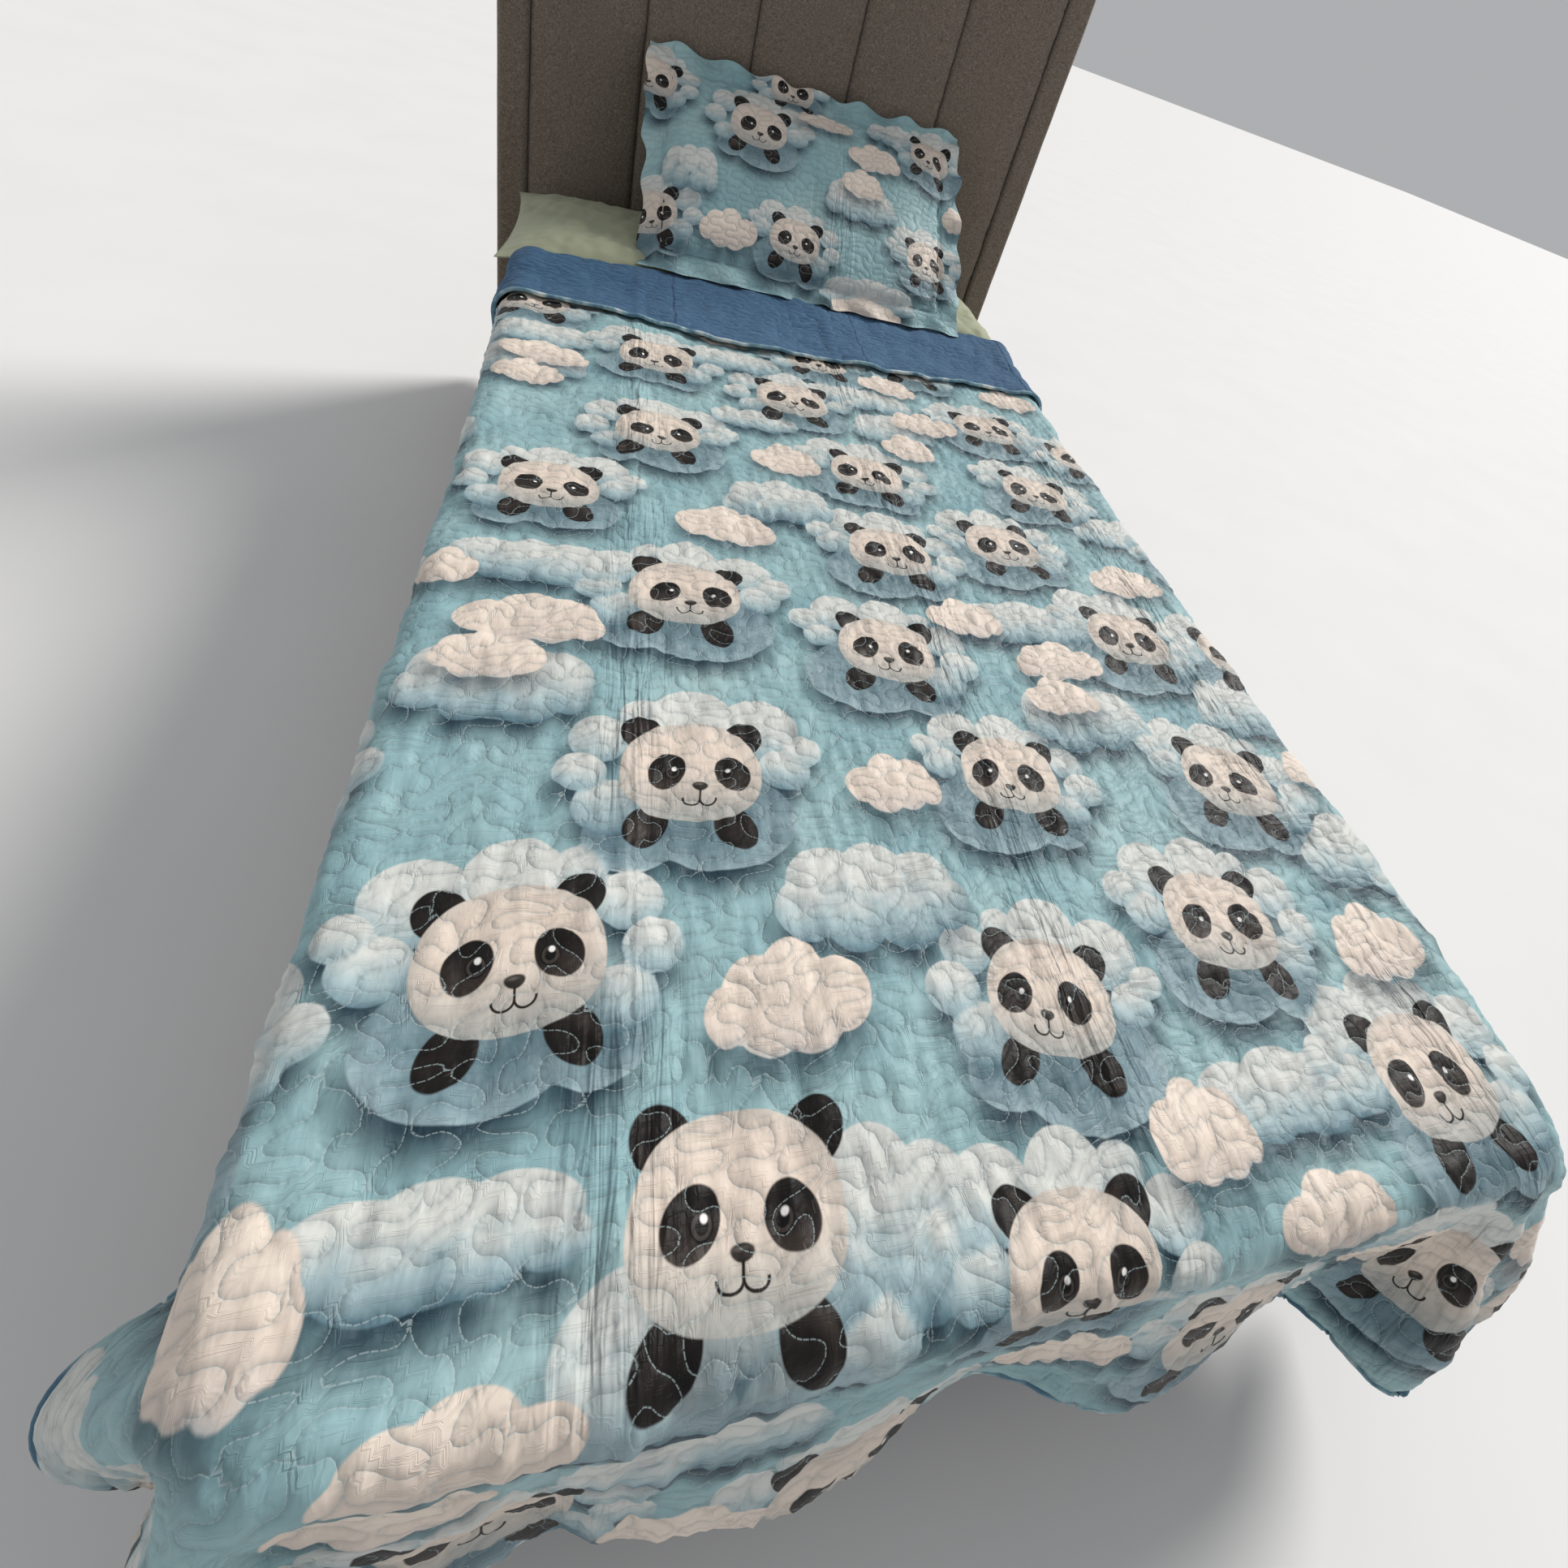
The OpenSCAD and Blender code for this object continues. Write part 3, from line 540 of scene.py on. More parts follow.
class Shader:
    """A material, and short calls that add nodes to it. Each gives back an output socket."""

    def __init__(self, name, **constants):
        self.material = bpy.data.materials.new(name)
        self.material.use_nodes = True
        self.tree = self.material.node_tree
        self.surface = self.tree.nodes["Principled BSDF"]
        for socket, value in constants.items():
            self.surface.inputs[socket.replace("_", " ")].default_value = value

    def put(self, node, socket, value):
        """Links an output, or sets a number, a colour or the code of a colour."""
        if isinstance(value, bpy.types.NodeSocket):
            self.tree.links.new(value, node.inputs[socket])
        elif value is not None:
            plain = colour(value) if isinstance(value, str) else value
            node.inputs[socket].default_value = plain

    def node(self, kind, **settings):
        node = self.tree.nodes.new("ShaderNode" + kind)
        configure(node, **settings)
        return node

    def math(self, operation, *values):
        node = self.node("Math", operation=operation)
        for k, value in enumerate(values):
            self.put(node, k, value)
        return node.outputs[0]

    add = partialmethod(math, "ADD")
    sub = partialmethod(math, "SUBTRACT")
    mul = partialmethod(math, "MULTIPLY")
    muladd = partialmethod(math, "MULTIPLY_ADD")
    power = partialmethod(math, "POWER")
    exp = partialmethod(math, "EXPONENT")
    size = partialmethod(math, "ABSOLUTE")
    most = partialmethod(math, "MAXIMUM")
    least = partialmethod(math, "MINIMUM")
    fract = partialmethod(math, "FRACT")

    def mix(self, factor, a, b, blend="MIX"):
        node = self.node("Mix", data_type="RGBA", blend_type=blend, clamp_factor=True)
        for socket, value in ((0, factor), (6, a), (7, b)):
            self.put(node, socket, value)
        return node.outputs[2]

    def attribute(self, name):
        return self.node("Attribute", attribute_name=name).outputs["Vector"]

    def place(self):
        return self.node("TexCoord").outputs["Object"]

    def split(self, vector):
        node = self.node("SeparateXYZ")
        self.put(node, 0, vector)
        return node.outputs[:3]

    def scaled(self, vector, x, y, z=1.0):
        node = self.node("VectorMath", operation="MULTIPLY")
        self.put(node, 0, vector)
        node.inputs[1].default_value = (x, y, z)
        return node.outputs[0]

    def noise(self, vector, scale, detail=2.0, rough=0.5, bent=0.0):
        """Noise of one scale, or of a scale each way."""
        if isinstance(scale, tuple):
            vector, scale = self.scaled(vector, *scale), 1.0
        node = self.node("TexNoise")
        for socket, value in (("Vector", vector), ("Scale", scale), ("Detail", detail),
                              ("Roughness", rough), ("Distortion", bent)):
            self.put(node, socket, value)
        return node.outputs[0]

    def step(self, value, low, high):
        """0 below low, 1 above high; low may be the larger."""
        node = self.node("MapRange", interpolation_type="SMOOTHSTEP")
        turned = low > high
        for socket, v in ((0, value), (1, min(low, high)), (2, max(low, high)),
                          (3, 1.0 if turned else 0.0), (4, 0.0 if turned else 1.0)):
            self.put(node, socket, v)
        return node.outputs[0]

    def ramp(self, value, *stops):
        node = self.node("ValToRGB")
        self.put(node, 0, value)
        marks = node.color_ramp.elements
        while len(marks) < len(stops):
            marks.new(0.5)
        for mark, (at, code) in zip(marks, stops):
            mark.position, mark.color = at, colour(code)
        return node.outputs[0]

    def finish(self, base, rough, height=None, distance=0.0, strength=1.0):
        """Sets the colour, the roughness, and a bump up to distance metres high."""
        self.put(self.surface, "Base Color", base)
        self.put(self.surface, "Roughness", rough)
        if height is not None:
            node = self.node("Bump")
            for socket, value in (("Height", height), ("Distance", distance),
                                  ("Strength", strength)):
                self.put(node, socket, value)
            self.put(self.surface, "Normal", node.outputs[0])
        return self.material

    def inside(self, distance, blur=0.012):
        """1 inside an outline and 0 outside it, from the distance outside it."""
        return self.step(distance, blur, -blur)

    def oval(self, x, y, cx, cy, rx, ry, turn=0.0):
        """Distance outside an oval, in head widths: below 0 inside it."""
        a = math.radians(turn)
        dx, dy = self.sub(x, cx), self.sub(y, cy)
        along = self.muladd(dx, math.cos(a) / rx, self.mul(dy, math.sin(a) / rx))
        over = self.muladd(dx, -math.sin(a) / ry, self.mul(dy, math.cos(a) / ry))
        length = self.math("SQRT", self.muladd(along, along, self.mul(over, over)))
        return self.mul(self.sub(length, 1.0), min(rx, ry))


def add_panda(s, base, bed_shadow):
    """Draws one generic panda over base, from the panda attribute: x and y in half head
    widths, and which way it looks."""
    x, y, look = s.split(s.attribute("panda"))
    side = s.size(x)

    arm = s.oval(side, y, 0.61, -0.97, 0.27, 0.37, 32)
    ear = s.oval(side, y, 0.73, 0.62, 0.29, 0.35, -38)
    # head: a rounded box, a little wider at the top
    bend, tall = 2.35, 0.86
    wide = s.power(s.size(s.mul(x, s.muladd(y, 0.06, 1.0))), bend)
    high = s.power(s.size(s.mul(y, 1 / tall)), bend)
    head = s.mul(s.sub(s.power(s.add(wide, high), 1 / bend), 1.0), tall)

    # the shadow under it, then arms and ears, then the head over them
    shadow = s.step(s.oval(x, y, 0.0, -0.50, 0.92, 0.86), 0.34, -0.30)
    now = s.mix(s.mul(shadow, bed_shadow), base, "#3A5560")
    gleam = s.noise(s.attribute("panda"), (1.6, 1.6, 3.0), 1.0)
    black = s.ramp(gleam, (0.30, "#0C0A09"), (0.55, "#1F1A18"), (0.78, "#433A34"))
    limb = s.most(s.inside(arm), s.inside(ear))
    rim = s.step(s.least(arm, ear), -0.10, 0.0)
    now = s.mix(limb, now, s.mix(rim, black, "#14110F"))

    shade = s.step(y, 0.1, -0.95)
    pale = s.mix(shade, "#E2D3C5", "#A8AAA6")
    brow = s.step(head, -0.25, 0.0)
    pale = s.mix(s.mul(brow, 0.35), pale, "#B3B2AC")
    now = s.mix(s.inside(head), now, pale)

    # the face turns a little to one side
    fx = s.muladd(look, -0.26, x)
    face = s.size(fx)
    patch = s.oval(face, y, 0.47, -0.04, 0.255, 0.315, 28)
    patch_black = s.mix(s.step(y, 0.15, -0.35), "#13100E", "#38302B")
    now = s.mix(s.inside(patch), now, patch_black)
    eye = s.oval(face, y, 0.38, -0.06, 0.115, 0.125)
    now = s.mix(s.inside(eye), now, "#0B0908")
    ring = s.sub(0.016, s.size(s.add(eye, 0.035)))
    now = s.mix(s.mul(s.step(ring, -0.006, 0.006), 0.35), now, "#6B615A")
    glint = s.oval(s.size(s.add(fx, -0.02)), y, 0.38, 0.0, 0.036, 0.040)
    now = s.mix(s.inside(glint), now, "#F6F4F0")

    # nose: an oval that narrows downwards; mouth: a short line and two arcs
    narrow = s.mul(fx, s.muladd(s.add(y, 0.29), -3.2, 1.0))
    nose = s.oval(narrow, y, 0.0, -0.29, 0.108, 0.076)
    now = s.mix(s.inside(nose), now, "#2B2723")
    shine = s.oval(fx, y, -0.02, -0.255, 0.05, 0.018)
    now = s.mix(s.mul(s.inside(shine, 0.02), 0.5), now, "#8A817A")
    stroke = 0.014
    drop = s.most(s.sub(s.size(fx), stroke), s.sub(s.size(s.add(y, 0.42)), 0.075))
    arc = s.sub(s.size(s.oval(face, y, 0.115, -0.48, 0.115, 0.11)), stroke)
    arc = s.most(arc, s.add(y, 0.47))
    mouth = s.least(drop, arc)
    return s.mix(s.inside(mouth, 0.008), now, "#1B1512")


def crease_wrinkles(s, flat):
    """Height of the fine wrinkles along the packing creases, which lie a quarter of the
    quilt apart, and of the creases themselves."""
    u, _, _ = s.split(flat)
    stray = s.noise(flat, (9.0, 16.0), 2.0)
    u = s.muladd(stray, 0.014, u)
    first = SHIFT + 0.007
    folded = s.sub(s.fract(s.muladd(u, 1 / CREASE_GAP, 0.5 - first / CREASE_GAP)), 0.5)
    away = s.mul(s.size(folded), CREASE_GAP)
    fine = s.noise(flat, (100.0, 10.0), 2.0, 0.55, 0.6)
    patchy = s.step(s.noise(flat, (3.0, 5.0), 1.0), 0.38, 0.56)
    near = s.step(away, 0.06, 0.0)
    wrinkles = s.mul(s.mul(fine, near), patchy)
    line = s.step(away, 0.004, 0.0)
    return wrinkles, line


def printed_cloth():
    s = Shader("printed_cloth", Specular_IOR_Level=0.22, Sheen_Weight=0.03, Sheen_Roughness=0.45)
    flat = s.attribute("flat")
    distance, along, _ = s.split(s.attribute("stitch"))
    back_edge, back_light, back_shade = s.split(s.attribute("cloud_back"))
    front_edge, front_light, front_shade = s.split(s.attribute("cloud_front"))
    cream_edge, cream_light, cream_shade = s.split(s.attribute("cream"))
    blur = 0.0009                       # of the edges of the print

    cloudy = s.noise(flat, 7.0, 3.0, 0.55)
    ground = s.ramp(cloudy, (0.30, "#7AA3AC"), (0.5, "#90B4B9"), (0.72, "#A8C5C7"))
    mottle = s.noise(s.scaled(flat, 1.0, 1.6), 38.0, 3.0, 0.6)
    ground = s.mix(s.mul(mottle, 0.4), ground, "#A6C6C9")
    navy = "#193342"
    shade = s.mul(s.most(back_shade, front_shade), 0.97)
    now = s.mix(shade, ground, navy)
    soft = s.noise(flat, 55.0, 3.0, 0.6)

    def cloud(light):
        tone = s.muladd(soft, 0.26, s.sub(light, 0.13))
        return s.ramp(tone, (0.06, "#3F5B66"), (0.30, "#65838F"), (0.56, "#A2B9BE"),
                      (0.82, "#D5D7D2"))

    under = s.mix(s.mul(front_shade, 0.62), cloud(back_light), "#3A5A69")
    now = s.mix(s.inside(back_edge, blur), now, under)
    now = s.mix(s.inside(front_edge, blur), now, cloud(front_light))
    now = s.mix(s.mul(cream_shade, 0.80), now, navy)
    cream_tone = s.muladd(soft, 0.22, s.sub(cream_light, 0.11))
    cream = s.ramp(cream_tone, (0.30, "#A7B4BA"), (0.48, "#D3C7BD"), (0.66, "#E5D6C8"),
                   (0.9, "#F0E3D5"))
    now = s.mix(s.inside(cream_edge, blur), now, cream)
    now = add_panda(s, now, 0.55)

    # thread: a broken light line, with painted shade darkening the sunken groove beside it
    off = s.size(distance)
    groove_shade = s.step(off, 0.0045, 0.0)
    now = s.mix(s.mul(groove_shade, 0.16), now, s.mix(1.0, now, "#7B8A90", "MULTIPLY"))
    stitch_length = 0.0034
    dash = s.fract(s.mul(along, 1 / stitch_length))
    stitch = s.mul(s.step(off, 0.00052, 0.00024),
                   s.mul(s.step(dash, 0.0, 0.12), s.step(dash, 0.92, 0.80)))
    now = s.mix(s.mul(stitch, 0.46), now, "#B4C4C6")

    wrinkles, line = crease_wrinkles(s, flat)
    weave = s.noise(flat, 1500.0, 1.0)
    plump = s.sub(1.0, s.exp(s.mul(off, -420.0)))
    crinkle = s.noise(flat, (92.0, 34.0), 2.0, 0.5, 0.5)
    height = s.muladd(plump, 0.8, s.mul(crinkle, 0.72))
    gathers = s.noise(s.attribute("stitch"), (70.0, 190.0), 1.0)
    beside = s.exp(s.mul(off, -200.0))
    height = s.muladd(s.mul(gathers, beside), 0.9, height)
    height = s.muladd(wrinkles, 4.2, height)
    height = s.muladd(line, -0.6, height)
    height = s.muladd(weave, 0.03, height)
    rough = s.muladd(crinkle, 0.12, 0.46)
    return s.finish(now, rough, height, 0.0018, 0.9)


def denim_cloth():
    s = Shader("slubbed_denim", Specular_IOR_Level=0.22, Sheen_Weight=0.08, Sheen_Roughness=0.5)
    flat = s.attribute("flat")
    distance, _, _ = s.split(s.attribute("stitch"))
    slub = s.noise(flat, (60.0, 900.0), 3.0, 0.6)
    long_slub = s.noise(flat, (16.0, 260.0), 2.0, 0.5)
    base = s.ramp(slub, (0.30, "#2B4A68"), (0.48, "#3A5E80"), (0.62, "#4C7292"), (0.78, "#7F9FB8"))
    base = s.mix(s.step(long_slub, 0.60, 0.74), base, "#6488A8")
    base = s.mix(s.mul(s.noise(flat, 9.0, 2.0), 0.4), base, "#335673")
    off = s.size(distance)
    plump = s.sub(1.0, s.exp(s.mul(off, -400.0)))
    wrinkles, line = crease_wrinkles(s, flat)
    height = s.muladd(plump, 0.9, s.mul(slub, 0.22))
    height = s.muladd(wrinkles, 1.3, height)
    height = s.muladd(line, -1.2, height)
    # painted shade: the colour darkens along the sunken crease line
    base = s.mix(s.mul(line, 0.45), base, "#1F3860")
    return s.finish(base, 0.82, height, 0.0014, 0.8)


def edge_tape():
    s = Shader("overlocked_edge", Specular_IOR_Level=0.25)
    place = s.place()
    twist = s.noise(place, (900.0, 900.0, 900.0), 1.0)
    patch = s.noise(place, (34.0, 34.0, 34.0), 2.0, 0.6)
    base = s.ramp(patch, (0.38, "#48708A"), (0.52, "#86A9B5"), (0.66, "#E2E6E2"))
    base = s.mix(s.mul(twist, 0.4), base, "#8FA9B0")
    return s.finish(base, 0.75, twist, 0.0005, 0.8)


def sage_cotton():
    s = Shader("sage_cotton", Specular_IOR_Level=0.25, Sheen_Weight=0.15, Sheen_Roughness=0.5)
    place = s.place()
    thread = s.noise(place, (1400.0, 260.0, 700.0), 1.0)
    cross = s.noise(place, (260.0, 1400.0, 700.0), 1.0)
    base = s.mix(s.noise(place, 6.0, 2.0), "#A3A98B", "#B7BBA0")
    base = s.mix(s.mul(thread, 0.35), base, "#8C9276")
    soft = s.noise(place, (22.0, 34.0, 30.0), 3.0, 0.55, 0.4)
    height = s.muladd(s.add(thread, cross), 0.05, soft)
    return s.finish(base, 0.8, height, 0.0028, 0.55)


def upholstery():
    s = Shader("woven_upholstery", Specular_IOR_Level=0.2, Sheen_Weight=0.2, Sheen_Roughness=0.4)
    place = s.place()
    warp = s.noise(place, (520.0, 520.0, 190.0), 2.0, 0.6)
    weft = s.noise(place, (190.0, 190.0, 520.0), 2.0, 0.6)
    fleck = s.mul(s.add(warp, weft), 0.5)
    base = s.ramp(fleck, (0.32, "#4F4740"), (0.48, "#70665C"), (0.60, "#877B6F"),
                  (0.75, "#A79A8C"))
    cloud = s.noise(place, 5.0, 2.0)
    base = s.mix(s.mul(cloud, 0.3), base, "#645A50")
    return s.finish(base, 0.88, fleck, 0.0016, 0.7)


def ticking():
    s = Shader("knitted_ticking", Specular_IOR_Level=0.25, Sheen_Weight=0.1)
    place = s.place()
    x, y, z = s.split(place)
    knit = s.noise(place, (700.0, 700.0, 420.0), 1.0)
    wave = s.math("SINE", s.muladd(s.add(x, y), 90.0,
                                   s.mul(s.math("SINE", s.mul(z, 70.0)), 1.2)))
    base = s.mix(knit, "#D6D6CE", "#ECECE6")
    # painted shade: darker along the quilting lines, where the knit sinks in
    base = s.mix(s.step(wave, 0.8, 1.0), base, "#C2C5C2")
    height = s.muladd(s.step(wave, 1.0, 0.5), 1.0, s.mul(knit, 0.25))
    return s.finish(base, 0.85, height, 0.002, 0.5)


def non_woven():
    s = Shader("non_woven_cloth", Specular_IOR_Level=0.2)
    place = s.place()
    fibre = s.noise(place, 900.0, 3.0, 0.7)
    dots = s.noise(place, 220.0, 0.0)
    base = s.mix(fibre, "#161618", "#35353A")
    height = s.add(fibre, s.step(dots, 0.6, 0.5))
    return s.finish(base, 0.9, height, 0.0006, 0.6)


def wood(name, along, light, dark):
    """Sawn wood whose grain runs along one axis."""
    s = Shader(name, Specular_IOR_Level=0.3)

    def grain(across_it, along_it, *rest):
        scale = tuple(along_it if k == along else across_it for k in range(3))
        return s.noise(s.place(), scale, *rest)

    ring = grain(26.0, 1.3, 4.0, 0.6, 0.8)
    bands = s.fract(s.mul(ring, 7.0))
    base = s.mix(s.step(bands, 0.0, 1.0), light, dark)
    pore = grain(420.0, 14.0)
    base = s.mix(s.step(pore, 0.62, 0.72), base, "#6E4F30")
    height = s.muladd(pore, -0.6, bands)
    return s.finish(base, s.muladd(pore, 0.2, 0.5), height, 0.0005, 0.5)


def plastic(name, dark, light):
    s = Shader(name, Specular_IOR_Level=0.45)
    grain = s.noise(s.place(), 1100.0, 2.0, 0.6)
    wear = s.noise(s.place(), 24.0, 3.0)
    base = s.mix(s.mul(wear, 0.6), dark, light)
    return s.finish(base, s.muladd(wear, 0.2, 0.42), grain, 0.0003, 0.5)


def zinc():
    s = Shader("zinc_plate", Metallic=1.0)
    spangle = s.noise(s.place(), 260.0, 2.0, 0.6)
    scratch = s.noise(s.place(), (900.0, 40.0, 900.0), 2.0)
    base = s.mix(spangle, "#A9ABAD", "#D2D3D2")
    return s.finish(base, s.muladd(spangle, 0.2, 0.26), scratch, 0.0002, 0.4)


PRINT = printed_cloth()
DENIM = denim_cloth()
TAPE = edge_tape()
SAGE = sage_cotton()
WOVEN = upholstery()
TICKING = ticking()
NON_WOVEN = non_woven()

# ---- draping the quilt ----

COARSE = 0.025                          # between the points of the simulated cloth
FRAMES = 46                             # of the simulation
FINE = 0.0042                           # between the points of the finished quilt
RIM = 0.012                             # how far in from a hem the quilt is flattened


def fold_pull(u):
    """How far the fold's left end is pulled towards the foot."""
    return 0.064 * smooth(-u, 0.12, 0.58)


def pillow_rise(y):
    """How much the top of the bed rises towards the fold, where the pillow starts."""
    return RISE * smooth(y, FOLD_Y - 0.14, FOLD_Y - 0.02)


def drape_quilt():
    """The lower layer of the quilt as a coarse (rows, columns, 3) sheet, draped by
    simulation over the shape of the bed."""
    points, faces = bed_form(BED_HALF - SHEET_EDGE, FOOT_Y - SHEET_OUT + SHEET_EDGE, FOLD_Y + 0.25,
                             SHEET_CORNER, SHEET_EDGE, BED_TOP, 0.10, pillow_rise)
    form = add_mesh("drape_form", points, faces, None)
    form.modifiers.new("Collision", "COLLISION")
    configure(form.collision, thickness_outer=0.002, cloth_friction=24.0)
    columns = int(round(QUILT_W / COARSE)) + 1
    rows = int(round(LOWER_L / COARSE)) + 1
    u, v = np.meshgrid(np.linspace(-QUILT_W / 2, QUILT_W / 2, columns),
                       np.linspace(0, LOWER_L, rows))
    x, y = u + SHIFT, FOLD_Y - LOWER_L + v
    z = BED_TOP + 0.004 + pillow_rise(y) + 0.0006 * waves(x, y, 0.3, 5)
    flat = np.dstack([x, y, z])
    sheet = add_mesh("drape_sheet", flat, grid_quads(rows, columns), None)
    add_group(sheet, "pin", (v > LOWER_L - 0.03) & (np.abs(x) < BED_HALF - 0.02))
    # only the right foot corner folds so tightly that its layers have to be kept apart
    add_group(sheet, "calm", (u < 0.34) | (v > 0.52))
    cloth = sheet.modifiers.new("Cloth", "CLOTH")
    configure(cloth.settings, quality=7, mass=0.25, tension_stiffness=30, compression_stiffness=30,
              shear_stiffness=8, bending_stiffness=2.2, air_damping=2.0, vertex_group_mass="pin")
    configure(cloth.collision_settings, distance_min=0.003, use_self_collision=True,
              self_distance_min=0.009, vertex_group_self_collisions="calm")
    configure(cloth.point_cache, frame_start=1, frame_end=FRAMES)
    scene = bpy.context.scene
    for number in range(1, FRAMES + 1):
        scene.frame_set(number)
    shape = sheet.evaluated_get(bpy.context.evaluated_depsgraph_get()).to_mesh()
    out = coordinates(shape).reshape(rows, columns, 3)
    scene.frame_set(1)
    for obj in (sheet, form):
        bpy.data.objects.remove(obj)
    # opens the tight fold at the right foot corner, where it hangs
    hanging = smooth(BED_TOP - out[..., 2], 0.07, 0.14)
    part = (hanging * smooth(u, 0.36, 0.46) * smooth(-v, -0.5, -0.4))[1:-1, 1:-1, None] * 0.4
    for _ in range(3):
        around = (out[:-2, 1:-1] + out[2:, 1:-1] + out[1:-1, :-2] + out[1:-1, 2:]) / 4
        out[1:-1, 1:-1] += part * (around - out[1:-1, 1:-1])
    return out


class Quilt:
    """The draped middle surface of the quilt, read at any stations of its flat cloth."""

    def __init__(self):
        self.coarse = drape_quilt()

    def at(self, us, vs):
        """Points and normals at every pair of us and vs on the lower layer. The normals
        point up whichever way vs runs."""
        if vs[0] > vs[-1]:
            return [part[::-1] for part in self.at(us, vs[::-1])]
        rows, columns = self.coarse.shape[:2]
        wu = spline_weights((us + QUILT_W / 2) / QUILT_W * (columns - 1), columns)
        wv = spline_weights(vs / LOWER_L * (rows - 1), rows)
        p = np.einsum("ri,ijk,cj->rck", wv, self.coarse, wu)
        u, v = np.meshgrid(us, vs)
        n = grid_normals(p)
        hang = smooth(BED_TOP - p[..., 2], 0.03, 0.22)
        flute = (0.016 * np.sin(2 * math.pi * (u / 0.37 + 0.06 * waves(u, v * 0, 0.6, 8)))
                 + 0.006 * waves(u, v, 0.2, 9))
        along = 0.007 * waves(v, u * 0, 0.33, 10)
        foot = smooth(FOOT_V + 0.05 - v, 0.0, 0.1)
        p = p + n * (hang * (0.018 + foot * flute + (1 - foot) * along))[..., None]
        sag = 0.0022 * waves(u, v, 0.22, 11) + 0.0012 * waves(u * 1.4, v, 0.09, 12)
        for middle, high in ((-CREASE_GAP, 0.0022), (0.0, 0.0018), (CREASE_GAP, 0.0014)):
            sag = sag + high * np.exp(-((u - middle) / 0.008) ** 2)
        p = p + n * sag[..., None]
        p[..., 1] -= fold_pull(u) * smooth(v, LOWER_L - 0.32, LOWER_L)
        return [p, grid_normals(p), u, v]

    def band(self, us, backs):
        """The same under the band, at every distance back from the fold. The band is wider
        at the left, and its edge stays straight where the fold is pulled."""
        p, n, u, v = self.at(us, LOWER_L - backs)
        back = LOWER_L - v
        p[..., 1] += back * (0.22 * u + fold_pull(u) / BAND)
        return p, n, u, back


def lift_band(u, back):
    """Extra height of the band: it rests puffily, and its edge lifts in places."""
    edge = smooth(back, BAND - 0.05, BAND) * (0.0015 + 0.002 * waves(u, back * 0, 0.12, 22))
    return 0.0016 + 0.0012 * waves(u, back, 0.16, 21) + edge


def build_face(quilt, us, rows):
    """The printed face: all of the lower layer, then back under the band. Gives back the
    piece, the points of its lower layer, and those of the middle surface below them."""
    p, n, u, v = quilt.at(us, np.linspace(0, LOWER_L, int(LOWER_L / FINE) + 1))
    distance, along = stitch_field(u, v, rows)
    rim = smooth(np.minimum(QUILT_W / 2 - np.abs(u), v), 0.0, RIM)
    pull = 0.85 + 0.45 * waves(u, v, 0.06, 14)
    height = (LOFT * (0.45 + 0.55 * rim) - 0.002 + pull * puff(distance, 0.0027) * rim
              + 0.0009 * waves(u, v * 0.35, 0.02, 13))
    face = p + n * height[..., None]
    band, band_n, band_u, back = quilt.band(us, np.linspace(0, BAND, 12)[1:])
    under = band + band_n * (LOFT + 0.0034 + 0.3 * lift_band(band_u, back))[..., None]
    obj = add_grid("quilt_printed_face", np.concatenate([face, under]), PRINT, "bed")
    print_layers(obj, np.concatenate([u, band_u]) + SHIFT,
                 np.concatenate([v, LOWER_L + back]) - FOOT_V, *QUILT_PRINT)
    set_pair(obj, "stitch", np.concatenate([distance, 0 * back + NO_STITCH]),
             np.concatenate([along, 0 * back]))
    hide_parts("quilt_face", "quilt_wadding")
    return obj, face, p


def build_reverse(quilt, us, rows):
    """The reverse: under the lower layer, round the fold, and over the band. Gives back the
    piece, the points of its band, and those of the band's lower face."""
    low, _, u, v = quilt.at(us, np.linspace(0, LOWER_L, int(LOWER_L / 0.014) + 1))
    p, n, band_u, back = quilt.band(us, np.linspace(0, BAND, int(BAND / FINE) + 1))
    distance, _ = stitch_field(band_u, LOWER_L + back, rows)
    rim = smooth(np.minimum(BAND - back, QUILT_W / 2 - np.abs(band_u)), 0.0, RIM)
    height = 2 * LOFT + 0.0015 + lift_band(band_u, back) + puff(distance, 0.0022) * rim
    band = p + n * height[..., None]
    middle, arm = (low[-1] + band[0]) / 2, (band[0] - low[-1]) / 2
    reach = unit(low[-1] - low[-2]) * np.linalg.norm(arm, axis=1, keepdims=True)
    angle = np.linspace(0, math.pi, 9)[1:-1, None, None]
    turns = middle - arm * np.cos(angle) + reach * np.sin(angle)
    turn_v = LOWER_L + np.linspace(-0.006, 0.006, len(turns))[:, None] + 0 * u[:1]
    flat_u = np.concatenate([u, np.repeat(u[:1], len(turns), 0), band_u])
    flat_v = np.concatenate([v, turn_v, LOWER_L + back])
    near = np.concatenate([0 * v + NO_STITCH, 0 * turn_v + NO_STITCH, distance])
    points = np.concatenate([low, turns, band])
    obj = add_grid("quilt_denim_reverse", points[:, ::-1], DENIM, "bed")
    set_pair(obj, "flat", flat_u[:, ::-1], flat_v[:, ::-1])
    set_pair(obj, "stitch", near[:, ::-1], 0)
    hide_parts("quilt_reverse")
    return obj, band, band - n * (LOFT - 0.001)


def build_tape(name, outer, other, past, half_w):
    """Tape round the first row and the two sides of a sheet that has an outer and an other
    face. It reaches past the edge, out of the cloth."""
    edges = [(outer[::-1, 0], outer[::-1, 2], other[::-1, 0]), (outer[0], outer[2], other[0]),
             (outer[:, -1], outer[:, -3], other[:, -1])]
    edge, inside, below = (np.concatenate(parts) for parts in zip(*edges))
    out = unit(edge - inside)
    path = (edge + below) / 2 + out * past
    tape = tube(name, path, out, unit(edge - below), half_w, 0.0036, TAPE, "bed")
    return tape


